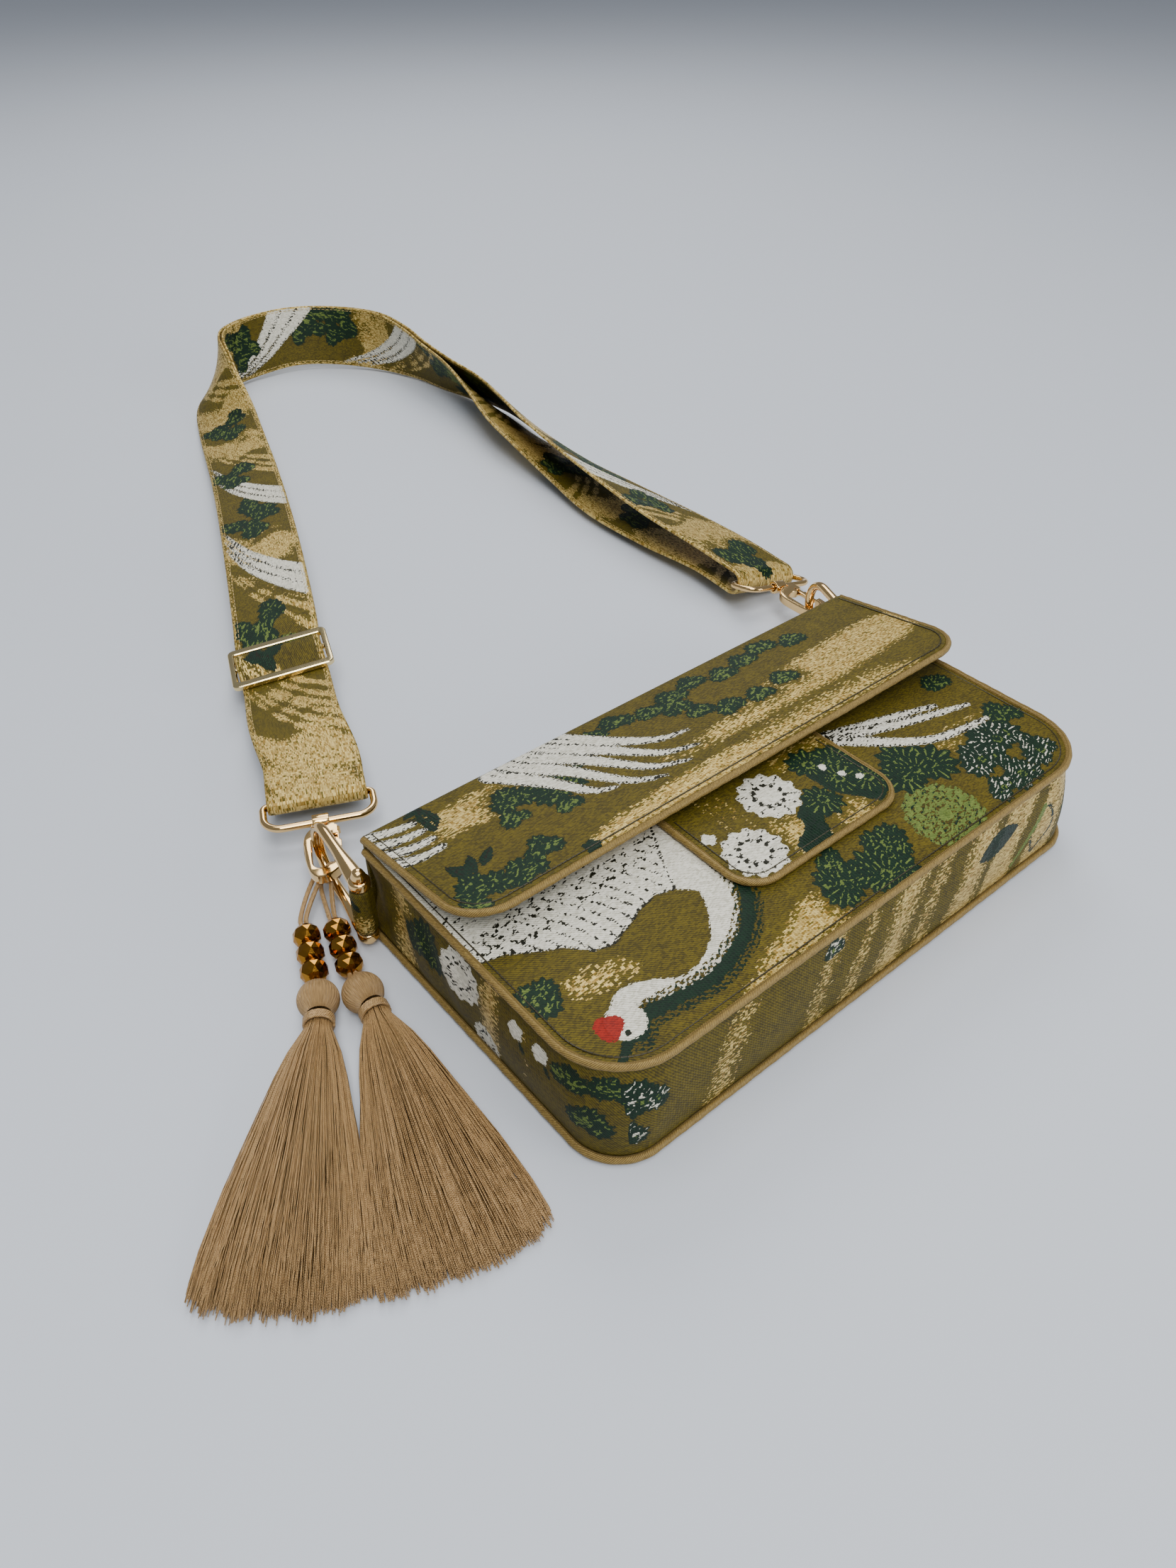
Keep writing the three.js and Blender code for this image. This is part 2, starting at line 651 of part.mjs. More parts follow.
// Route of the strap's outer layer, from the left ring to the right one.
// across: share of the way between the rings' bars in X. reach: share of loopReach beyond the left bar in Y.
// lift: middle height as a share of the strap's width. turn: heading in degrees. lean: 90 stands on its outer edge.
const outerRoute = [
  { across: 0.177, reach: 0.27, lift: 0.48, turn: 68, lean: 7 },
  { across: 0.297, reach: 0.437, lift: 0.53, turn: 66, lean: 7 },
  { across: 0.427, reach: 0.631, lift: 0.34, turn: 66, lean: 7 },
  { across: 0.537, reach: 0.814, lift: 0.285, turn: 66, lean: 19 },
  { across: 0.6, reach: 0.921, lift: 0.47, turn: 60, lean: 50 },
  { across: 0.685, reach: 0.985, lift: 0.54, turn: 38, lean: 88 },
  { across: 0.84, reach: 1.012, lift: 0.53, turn: 5, lean: 108 },
  { across: 0.925, reach: 1.002, lift: 0.53, turn: -17, lean: 110 },
  { across: 1.003, reach: 0.967, lift: 0.53, turn: -40, lean: 106 },
  { across: 1.07, reach: 0.906, lift: 0.53, turn: -58, lean: 95 },
  { across: 1.096, reach: 0.832, lift: 0.53, turn: -74, lean: 77 },
  { across: 1.1, reach: 0.762, lift: 0.495, turn: -84, lean: 65 },
  { across: 1.104, reach: 0.696, lift: 0.47, turn: -92, lean: 57 },
  { across: 1.107, reach: 0.62, lift: 0.45, turn: -95, lean: 52 },
  { across: 1.076, reach: 0.526, lift: 0.46, turn: -98, lean: 47 },
  { across: 1.055, reach: 0.469, lift: 0.48, turn: -99, lean: 41 },
  { across: 1.032, reach: 0.384, lift: 0.49, turn: -97, lean: 35 },
  { across: 1.021, reach: 0.297, lift: 0.48, turn: -93, lean: 26 },
  { across: 1.012, reach: 0.183, lift: 0.46, turn: -92, lean: 16 },
  { across: 1.01, reach: 0.09, lift: 0.44, turn: -92, lean: 13 },
];

// Route of the inner layer where it lies apart from the outer one, from the right ring outwards
const innerRoute = [
  { across: 1.01, reach: 0.09, lift: 0.14, turn: -92, lean: 9 },
  { across: 1.009, reach: 0.183, lift: 0.11, turn: -92, lean: 5 },
  { across: 1.012, reach: 0.286, lift: 0.1, turn: -93, lean: 5 },
  { across: 1.034, reach: 0.38, lift: 0.14, turn: -97, lean: 10 },
  { across: 1.044, reach: 0.469, lift: 0.22, turn: -99, lean: 21 },
  { across: 1.053, reach: 0.535, lift: 0.28, turn: -98, lean: 29 },
  { across: 1.079, reach: 0.614, lift: 0.35, turn: -96, lean: 40 },
  { across: 1.094, reach: 0.696, lift: 0.43, turn: -92, lean: 54 },
];

// Frame of a strap section: t runs along it, w to its outer edge and n out of its outer face
function strapFrame(origin, turn, lean) {
  const t = heading(turn);
  const left = heading(turn + 90);
  const tilt = degrees(lean);
  const w = left.clone().multiplyScalar(Math.cos(tilt)).addScaledVector(up, -Math.sin(tilt));
  const n = left.clone().multiplyScalar(Math.sin(tilt)).addScaledVector(up, Math.cos(tilt));
  return { origin, t, w, n };
}

function routeFrame({ across, reach, lift, turn, lean }) {
  const { left, right } = sides;
  const x = mix(left.bar.x, right.bar.x, across);
  const origin = vec(x, left.bar.y + reach * loopReach, lift * strapWidth);
  return strapFrame(origin, turn, lean);
}

const sliderPlace = { across: 0.133, reach: 0.211, lift: 0.41, turn: 69, lean: 7 };
const slider = routeFrame(sliderPlace);
const sectionStep = 8;
const layerStep = strapThickness + layerGap;
const barSeat = sliderHeight / 2 + fit + strapThickness / 2;
const sliderBars = sliderLength / 2 - sliderBar / 2;

// A frame moved by along and rise in its own axes
function shifted(frame, along, rise) {
  return { ...frame, origin: place(frame, along, 0, rise) };
}

// The same section seen as lying on its other face
function flipped(frame) {
  return { ...frame, n: frame.n.clone().negate() };
}

// Sections half round a bar, from its upper side to its lower one or back, on the side that reach points to
function roundBar(frame, radius, from, to, steps) {
  const sections = [];
  for (let i = 0; i <= steps; i++) {
    const angle = mix(from, to, i / steps);
    const reach = heading(angle);
    const origin = place(frame, radius * reach.y, 0, radius * reach.x);
    const n = frame.n.clone().multiplyScalar(reach.x).addScaledVector(frame.t, reach.y);
    sections.push({ ...frame, origin, n });
  }
  return sections;
}

// Smooth run of sections through frames. Each section's knot is the number of the frame that it stands at,
// or a share between two of them.
function smoothRun(frames) {
  const curve = new THREE.CatmullRomCurve3(frames.map((f) => f.origin), false, 'centripetal');
  const twist = new THREE.CatmullRomCurve3(frames.map((f) => f.w), false, 'catmullrom');
  const spans = frames.length - 1;
  const section = (knot) => {
    const t = curve.getTangent(knot / spans);
    const w = twist.getPoint(knot / spans);
    w.addScaledVector(t, -w.dot(t)).normalize();
    const n = vec(0, 0).crossVectors(t, w);
    if (n.dot(frames[Math.round(knot)].n) < 0) n.negate();
    return { knot, origin: curve.getPoint(knot / spans), t, w, n };
  };
  const run = [];
  for (let k = 0; k < spans; k++) {
    const length = frames[k].origin.distanceTo(frames[k + 1].origin);
    const steps = Math.max(Math.ceil(length / sectionStep), 2);
    for (let i = 0; i < steps; i++) run.push(section(k + i / steps));
  }
  run.push(section(spans));
  return run;
}

// The sections of a run from one knot to another
function stretch(run, from, to) {
  return run.filter(({ knot }) => knot >= from && knot <= to);
}

// The layer that lies under some sections, run the other way
function layerUnder(sections) {
  return [...sections].reverse().map((section) => flipped(shifted(section, 0, -layerStep)));
}

// Frame at a ring's far bar, its t towards the given heading
function barFrame(side, turn) {
  const { w: along } = side.ringFrame;
  const w = along.clone().multiplyScalar(Math.sign(along.dot(heading(turn + 90))));
  const t = heading(turn);
  t.addScaledVector(w, -w.dot(t)).normalize();
  return { origin: side.bar, t, w, n: vec(0, 0).crossVectors(t, w) };
}

function strapSections() {
  const { left, right } = sides;
  const leftBar = barFrame(left, left.ring);
  const rightBar = barFrame(right, right.ring - 180);
  const leftWrap = ringWire / 2 + fit + strapThickness / 2;
  const rightFold = shifted(rightBar, leftWrap - foldRadius, 0);
  const climbed = place(leftBar, sewnTail, 0, leftWrap + 1).z;
  const between = { across: 0.063, reach: 0.105, lift: climbed / strapWidth, turn: 68, lean: 4 };

  const leftFold = roundBar(leftBar, leftWrap, 180, 360, 6);
  const fold = roundBar(rightFold, foldRadius, 0, 180, 8);
  const sliderFold = roundBar(slider, barSeat, 180, 360, 5);
  const climb = [
    shifted(leftBar, 6, leftWrap),
    shifted(leftBar, sewnTail * 0.5, leftWrap + 0.4),
    routeFrame(between),
    shifted(slider, -sliderBars - 5, -barSeat - 0.3),
    shifted(slider, -sliderBars - sliderBar / 2, -barSeat),
    shifted(slider, -sliderBars + sliderBar / 2, -barSeat),
  ];
  const over = [
    shifted(slider, -sliderBars / 2 + 0.6, layerStep / 2),
    shifted(slider, -1.6, barSeat + layerStep),
    shifted(slider, 1.6, barSeat + layerStep),
    shifted(slider, sliderBars / 2 - 0.6, layerStep / 2),
    shifted(slider, sliderBars - sliderBar / 2, -barSeat),
    shifted(slider, sliderBars + sliderBar / 2, -barSeat),
  ];
  const frames = [leftFold.at(-1), ...climb, ...over, ...outerRoute.map(routeFrame), fold[0]];
  const outer = smoothRun(frames);
  const firstOuter = climb.length + over.length + 1;
  const tail = layerUnder(stretch(outer, 2, 3));
  const beside = layerUnder(stretch(outer, firstOuter - 2, firstOuter + 11));
  const tuckIn = smoothRun([
    tail.at(-1),
    flipped(shifted(leftBar, 11, leftWrap - layerStep - 0.2)),
    flipped(shifted(leftBar, 5, -leftWrap + 0.3)),
    leftFold[0],
  ]);
  const inner = smoothRun([fold.at(-1), ...innerRoute.map(routeFrame).map(flipped), beside[0]]);
  const tuckUnder = smoothRun([
    beside.at(-1),
    flipped(shifted(slider, sliderBars / 2, -barSeat - layerStep * 0.7)),
    flipped(shifted(slider, 2, -barSeat)),
    sliderFold[0],
  ]);
  return [
    ...tail,
    ...tuckIn.slice(1, -1),
    ...leftFold,
    ...outer.slice(1, -1),
    ...fold,
    ...inner.slice(1, -1),
    ...beside,
    ...tuckUnder.slice(1, -1),
    ...sliderFold,
  ];
}

function strap() {
  const thin = strapThickness / 2;
  const shares = [-0.5, -0.25, 0, 0.25, 0.5];
  const rings = strapSections().map((frame) => [
    ...shares.map((share) => place(frame, 0, share * strapWidth, -thin)),
    ...[...shares].reverse().map((share) => place(frame, 0, share * strapWidth, thin)),
  ]);
  return sheet(rings);
}

// Flat frame with a middle bar that the strap weaves through
function sliderFrame() {
  const inside = strapWidth + 2 * (fit + 0.5);
  const outside = inside + 2 * sliderSideBar;
  const rounded = (length, width, radius) => {
    const shape = new THREE.Shape();
    const x = length / 2 - radius;
    const y = width / 2 - radius;
    shape.absarc(x, y, radius, 0, Math.PI / 2);
    shape.absarc(-x, y, radius, Math.PI / 2, Math.PI);
    shape.absarc(-x, -y, radius, Math.PI, Math.PI * 1.5);
    shape.absarc(x, -y, radius, Math.PI * 1.5, Math.PI * 2);
    return shape;
  };
  const shape = rounded(sliderLength, outside, 3);
  shape.holes.push(rounded(sliderLength - 2 * sliderBar, inside, 0.8));
  const frame = new THREE.ExtrudeGeometry(shape, {
    depth: sliderHeight - 0.8,
    bevelThickness: 0.4,
    bevelSize: 0.4,
    bevelOffset: -0.4,
    bevelSegments: 1,
    curveSegments: 4,
  }).translate(0, 0, -(sliderHeight - 0.8) / 2);
  const bar = new THREE.CylinderGeometry(sliderHeight / 2, sliderHeight / 2, inside + 2, 10);
  const geometry = toGeometry(toSolid(frame).add(toSolid(bar)));
  const basis = new THREE.Matrix4().makeBasis(slider.t, slider.w, slider.n).setPosition(slider.origin);
  return geometry.applyMatrix4(basis);
}

// Each tassel: its first bead's place out from and beyond the left pin, headings of the beads, the stem,
// the head and the skirt, gap from the last bead to the head, and where its cord loops the left shackle,
// as degrees down the arch
const beadHeight = beadDiameter / 2 + fit;
const tassels = {
  a: {
    beadOut: 18.1, beadUp: 13.2, beadTurn: 249, stemTurn: 247, headTurn: 242, skirtTurn: 233,
    headGap: 3.2, down: 56, spread: 1,
  },
  b: {
    beadOut: 8.1, beadUp: 8.6, beadTurn: 253.5, stemTurn: 257, headTurn: 265, skirtTurn: 254.5,
    headGap: 4.6, down: 72, spread: 1.03,
  },
};
const beadPitch = beadLength + fit;

for (const tassel of Object.values(tassels)) {
  const run = heading(tassel.beadTurn);
  tassel.firstBead = sides.left.pin.clone().add(vec(-tassel.beadOut, tassel.beadUp, beadHeight));
  tassel.beads = [0, 1, 2].map((i) => tassel.firstBead.clone().addScaledVector(run, i * beadPitch));
  const stem = beadLength / 2 + tassel.headGap + tasselHeadDiameter / 2;
  tassel.head = tassel.beads[2].clone().addScaledVector(heading(tassel.stemTurn), stem);
  tassel.head.z = tasselHeadDiameter / 2 + fit;
}

// Faceted bead, bored along its run for the two strands of the cord
function bead(tassel, index) {
  const bore = cordDiameter + fit;
  const round = beadDiameter / 2;
  const half = beadLength / 2;
  const profile = [
    [bore, -half], [round * 0.66, -half], [round * 0.93, -half * 0.5], [round, 0],
    [round * 0.93, half * 0.5], [round * 0.66, half], [bore, half], [bore, -half],
  ].map(([x, y]) => new THREE.Vector2(x, y));
  const { x, y, z } = tassel.beads[index];
  return new THREE.LatheGeometry(profile, 12)
    .rotateZ(degrees(tassel.beadTurn - 90))
    .translate(x, y, z);
}

// Two strands up from the head, through the beads and round the shackle's arch
function cordPoints(tassel) {
  const side = sides.left;
  const reach = shackleSpread / 2;
  const arch = side.pin.clone().addScaledVector(heading(side.shackle), shackleLength - reach).setZ(side.archHeight);
  const down = degrees(tassel.down);
  const centre = arch.clone()
    .addScaledVector(heading(side.shackle), reach * Math.cos(down))
    .addScaledVector(up, -reach * Math.sin(down));
  const along = heading(side.shackle).multiplyScalar(Math.sin(down)).addScaledVector(up, Math.cos(down));
  const away = tassel.firstBead.clone().sub(centre);
  away.addScaledVector(along, -away.dot(along)).normalize();
  const beside = vec(0, 0).crossVectors(along, away);
  const hold = shackleWire / 2 + fit + cordDiameter / 2;
  const run = heading(tassel.beadTurn);
  const cross = heading(tassel.beadTurn + 90);
  const side1 = cross.dot(beside) > 0 ? 1 : -1;
  const apart = cordDiameter / 2 + 0.1;
  const end = tassel.head.clone().addScaledVector(heading(tassel.headTurn), -tasselHeadDiameter / 2 - 0.6);
  const strand = (way) => {
    const across = cross.clone().multiplyScalar(way * side1 * apart);
    return [
      end.clone().add(across),
      tassel.beads[2].clone().addScaledVector(run, beadLength * 0.5 + 0.8).add(across),
      tassel.beads[2].clone().addScaledVector(run, beadLength * 0.3).add(across),
      tassel.beads[1].clone().add(across),
      tassel.beads[0].clone().addScaledVector(run, -beadLength * 0.5).add(across),
      tassel.beads[0].clone().addScaledVector(run, -beadLength * 0.5 - 5).add(across),
    ];
  };
  return [
    ...strand(1),
    centre.clone().addScaledVector(beside, hold).addScaledVector(away, hold * 0.6),
    centre.clone().addScaledVector(beside, hold * 0.8).addScaledVector(away, -hold * 0.7),
    centre.clone().addScaledVector(away, -hold * 1.05),
    centre.clone().addScaledVector(beside, -hold * 0.8).addScaledVector(away, -hold * 0.7),
    centre.clone().addScaledVector(beside, -hold).addScaledVector(away, hold * 0.6),
    ...strand(-1).reverse(),
  ];
}

function tasselCord(tassel) {
  const section = new THREE.Shape();
  section.absarc(0, 0, cordDiameter / 2, 0, 2 * Math.PI);
  const path = new THREE.CatmullRomCurve3(cordPoints(tassel), false, 'centripetal');
  return new THREE.ExtrudeGeometry(section, { steps: 70, curveSegments: 4, bevelEnabled: false, extrudePath: path });
}

// Shares along the skirt: half is a share of half the spread, thick a share of the head's diameter
const skirtTable = [
  { along: 0.03, half: 0.16, thick: 0.56 },
  { along: 0.09, half: 0.25, thick: 0.72 },
  { along: 0.2, half: 0.37, thick: 0.74 },
  { along: 0.42, half: 0.6, thick: 0.66 },
  { along: 0.68, half: 0.82, thick: 0.5 },
  { along: 0.88, half: 0.95, thick: 0.36 },
  { along: 1, half: 1, thick: 0.22 },
];

// Head, neck and skirt fused in one, the skirt's locks as ripples with tips of unlike length
function tasselBody(tassel) {
  const count = 4 * tasselLocks;
  const headR = tasselHeadDiameter / 2;
  const neckR = tasselNeckDiameter / 2;
  const headRun = heading(tassel.headTurn);
  const skirtRun = heading(tassel.skirtTurn);
  const neck = tassel.head.clone().addScaledVector(headRun, headR * 0.98);
  neck.z = tassel.head.z - 0.8;
  const ring = (centre, run, half, thick, ripple, fray) => {
    const cross = vec(-run.y, run.x);
    const points = [];
    for (let i = 0; i < count; i++) {
      const spin = (i / count) * 2 * Math.PI;
      const swell = 1 + ripple * Math.cos(tasselLocks * spin);
      const p = centre.clone()
        .addScaledVector(cross, half * Math.cos(spin))
        .addScaledVector(up, thick / 2 * swell * Math.sin(spin))
        .addScaledVector(run, fray * Math.sin(spin) ** 2 * Math.sin(3 * tasselLocks * spin / 2 + 1))
        .addScaledVector(run, -fray * Math.cos(spin) ** 2);
      p.z = Math.max(p.z, fit);
      points.push(p);
    }
    return points;
  };
  const rings = [];
  for (const angle of [-66, -40, -12, 16, 40]) {
    const reach = heading(angle);
    rings.push(ring(tassel.head.clone().addScaledVector(headRun, headR * reach.y), headRun,
      headR * reach.x, 2 * headR * reach.x, 0, 0));
  }
  rings.push(ring(neck, headRun, neckR, 2 * neckR, 0, 0));
  const meanRun = headRun.clone().lerp(skirtRun, 0.5).normalize();
  rings.push(ring(neck.clone().addScaledVector(meanRun, wrapWidth + 2 * fit), meanRun, neckR, 2 * neckR, 0, 0));
  const start = neck.clone().addScaledVector(meanRun, wrapWidth + 2 * fit);
  for (const { along, half, thick } of skirtTable) {
    const depth = thick * tasselHeadDiameter;
    const centre = start.clone().addScaledVector(skirtRun, along * tasselLength);
    centre.z = mix(start.z, depth / 2 + fit, Math.min(along / 0.42, 1));
    rings.push(ring(centre, skirtRun, half * tassel.spread * tasselSpread / 2, depth,
      0.16 * Math.min(along * 3, 1), 2.4 * along ** 3));
  }
  tassel.neck = neck;
  tassel.neckRun = meanRun;
  return skin(rings);
}

// Wound braid round the neck
function neckWrap(tassel) {
  const inner = tasselNeckDiameter / 2 + fit;
  const round = wrapThickness / 2;
  const profile = [
    [inner, -wrapWidth / 2], [inner + round, -wrapWidth / 2], [inner + wrapThickness, -wrapWidth / 4],
    [inner + wrapThickness, wrapWidth / 4], [inner + round, wrapWidth / 2], [inner, wrapWidth / 2],
    [inner, -wrapWidth / 2],
  ].map(([x, y]) => new THREE.Vector2(x, y));
  const middle = tassel.neck.clone().addScaledVector(tassel.neckRun, wrapWidth / 2 + fit);
  return new THREE.LatheGeometry(profile, 20)
    .rotateZ(Math.atan2(tassel.neckRun.y, tassel.neckRun.x) - Math.PI / 2)
    .translate(middle.x, middle.y, middle.z);
}

const bag = new THREE.Group();

function addPiece(name, geometry, material) {
  const mesh = new THREE.Mesh(geometry, material);
  mesh.name = name;
  bag.add(mesh);
}

addPiece('back_panel', backPanel(), brocade);
addPiece('front_panel', frontPanel(), brocade);
addPiece('gusset', gusset(), brocade);
addPiece('flap', flap(), brocade);
addPiece('closure_tab', closureTab(), brocade);
addPiece('front_piping', frontPiping(), goldCloth);
addPiece('back_piping', backPiping(), goldCloth);
addPiece('flap_piping', flapPiping(), goldCloth);
addPiece('tab_piping', tabPiping(), goldCloth);
addPiece('strap', strap(), brocade);
addPiece('slider', sliderFrame(), paleGold);

for (const [name, side] of Object.entries(sides)) {
  addPiece(`side_loop_${name}`, sideLoop(side), brocade);
  addPiece(`shackle_${name}`, shackle(side), gold);
  addPiece(`shackle_pin_${name}`, shacklePin(side), gold);
  addPiece(`strap_ring_${name}`, strapRing(side), gold);
  addPiece(`clasp_knuckle_${name}`, clawKnuckle(side), gold);
  addPiece(`clasp_hook_${name}`, clawHook(side), gold);
  addPiece(`clasp_lever_${name}`, clawLever(side), gold);
}

for (const [name, tassel] of Object.entries(tassels)) {
  addPiece(`tassel_${name}`, tasselBody(tassel), silk);
  addPiece(`neck_wrap_${name}`, neckWrap(tassel), silk);
  addPiece(`tassel_cord_${name}`, tasselCord(tassel), silk);
  for (let i = 0; i < 3; i++) addPiece(`bead_${name}${i + 1}`, bead(tassel, i), bronze);
}

export default bag;
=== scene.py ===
import math

import bmesh
import bpy
import numpy as np
from mathutils import Matrix, Vector


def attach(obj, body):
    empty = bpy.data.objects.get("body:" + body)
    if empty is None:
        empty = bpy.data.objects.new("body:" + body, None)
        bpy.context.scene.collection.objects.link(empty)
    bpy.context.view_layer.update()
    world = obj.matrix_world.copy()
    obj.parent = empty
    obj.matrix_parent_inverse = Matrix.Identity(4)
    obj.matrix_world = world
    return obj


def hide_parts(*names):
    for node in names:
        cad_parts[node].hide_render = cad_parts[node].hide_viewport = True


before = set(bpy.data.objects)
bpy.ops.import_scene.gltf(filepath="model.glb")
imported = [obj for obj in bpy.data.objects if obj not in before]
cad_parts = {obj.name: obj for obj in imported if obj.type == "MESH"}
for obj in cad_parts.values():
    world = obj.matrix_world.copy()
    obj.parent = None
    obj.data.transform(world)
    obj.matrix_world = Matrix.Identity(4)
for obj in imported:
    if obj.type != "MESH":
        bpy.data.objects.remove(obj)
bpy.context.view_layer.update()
mm = 0.001

# The photo's camera, in metres
lens = {"focal": 26.328, "sensor": 36.0, "place": (-0.25086, -0.20824, 0.32129),
        "right": (0.767914, -0.640551, 0.001712), "up": (0.415208, 0.499797, 0.760135)}


def unit(v):
    v = np.asarray(v, float)
    return v / np.linalg.norm(v)


def addObject(name, data):
    obj = bpy.data.objects.new(name, data)
    bpy.context.scene.collection.objects.link(obj)
    return obj


def setCamera():
    data = bpy.data.cameras.new("photoCamera")
    data.sensor_fit = "AUTO"
    data.sensor_width = lens["sensor"]
    data.lens = lens["focal"]
    data.clip_start = 0.01
    obj = addObject("photoCamera", data)
    right = unit(lens["right"])
    upward = unit(np.asarray(lens["up"]) - right * np.dot(right, lens["up"]))
    back = np.cross(right, upward)
    obj.matrix_world = Matrix([(*row, at) for row, at in
                               zip(np.stack([right, upward, back], 1), lens["place"])] + [(0, 0, 0, 1)])
    bpy.context.scene.camera = obj


setCamera()

# Sizes in millimetres, as the CAD part has them
bag = {"width": 250, "height": 134, "depth": 42.4, "backWidth": 251.2, "backHeight": 139.6, "crown": 3.2,
       "frontRadius": 26, "backRadius": 19, "cloth": 2.2, "bulge": 1.6, "pinch": 4.4, "piping": 1.5}
flapSize = {"length": 69, "width": 252.8, "shift": 2.8, "radius": 16.4, "hinge": 44.9, "edge": 55.6,
            "crown": 1.8, "fold": 3.4}
tabSize = {"width": 80, "length": 39.5, "tuck": 22, "radius": 12, "thick": 2, "shift": 1, "rise": 1.85}
topEdge = bag["backHeight"] / 2
stripInside = topEdge - bag["cloth"] - 0.35
hardware = {"shackleLength": 43, "spread": 26, "wire": 4.5, "flat": 7.6, "flatThick": 4, "base": 6,
            "ringWidth": 47, "ringDepth": 17.4, "ringWire": 3, "ringCorner": 2.6, "clawSide": 1.2,
            "loop": 8.6}
strapSize = {"width": 40, "thick": 1.8, "reach": 458, "layer": 2.8, "tail": 45, "fold": 5.6,
             "sliderBars": 13.5, "seat": 2.55, "step": 2.0}
tasselSize = {"cord": 1.9, "bead": 10.5, "beadLength": 8.5, "head": 14.6, "neck": 8.4, "length": 98,
              "spread": 53, "wrap": 3.4, "strands": 1650, "locks": 26}


# Node sockets with arithmetic

class Socket:
    def __init__(self, tree, out):
        self.tree = tree
        self.out = out

    def math(self, kind, other=0.0, third=0.0, clamp=False):
        return self.tree.node("ShaderNodeMath", {"operation": kind, "use_clamp": clamp},
                              {0: self, 1: other, 2: third})

    def __add__(self, other):
        return self.math("ADD", other)

    def __sub__(self, other):
        return self.math("SUBTRACT", other)

    def __mul__(self, other):
        return self.math("MULTIPLY", other)

    def __truediv__(self, other):
        return self.math("DIVIDE", other)

    def __rsub__(self, other):
        return (self * -1.0) + other

    __radd__ = __add__
    __rmul__ = __mul__

    def step(self, low, high):
        return self.tree.node("ShaderNodeMapRange", {"interpolation_type": "SMOOTHSTEP"},
                              {"Value": self, "From Min": low, "From Max": high})


class Tree:
    def __init__(self, name):
        self.material = bpy.data.materials.new(name)
        self.material.use_nodes = True
        self.nodes = self.material.node_tree.nodes
        self.links = self.material.node_tree.links
        self.shader = self.nodes["Principled BSDF"]

    def node(self, kind, settings=None, inputs=None, output=0):
        made = self.nodes.new(kind)
        for key, value in (settings or {}).items():
            setattr(made, key, value)
        for key, value in (inputs or {}).items():
            self.put(made.inputs[key], value)
        return Socket(self, made.outputs[output])

    def put(self, socket, value):
        if isinstance(value, Socket):
            self.links.new(value.out, socket)
        else:
            socket.default_value = value

    def mix(self, factor, a, b):
        return self.node("ShaderNodeMix", {"data_type": "RGBA"}, {0: factor, 6: a, 7: b}, 2)

    def attribute(self, name):
        vector = self.node("ShaderNodeAttribute", {"attribute_name": name}, {}, 1)
        split = self.node("ShaderNodeSeparateXYZ", {}, {0: vector}).out.node
        return vector, [Socket(self, split.outputs[i]) for i in range(3)]

    def set(self, **values):
        for key, value in values.items():
            self.put(self.shader.inputs[key.replace("_", " ")], value)


def rgb(red, green, blue):
    def lin(c):
        c /= 255
        return c / 12.92 if c <= 0.04045 else ((c + 0.055) / 1.055) ** 2.4
    return (lin(red), lin(green), lin(blue), 1.0)


threads = {"warp": 1.15, "weft": 0.5, "dark": rgb(52, 44, 4), "olive": rgb(112, 97, 12),
           "white": rgb(234, 230, 214), "whiteDeep": rgb(150, 146, 122), "green": rgb(8, 40, 20),
           "greenDeep": rgb(2, 14, 8), "pale": rgb(112, 128, 58), "paleDeep": rgb(58, 78, 26),
           "gold": rgb(222, 196, 120), "goldDeep": rgb(136, 104, 32), "red": rgb(158, 30, 12),
           "redDeep": rgb(96, 14, 6), "ink": rgb(30, 30, 10), "inkDeep": rgb(10, 10, 4)}


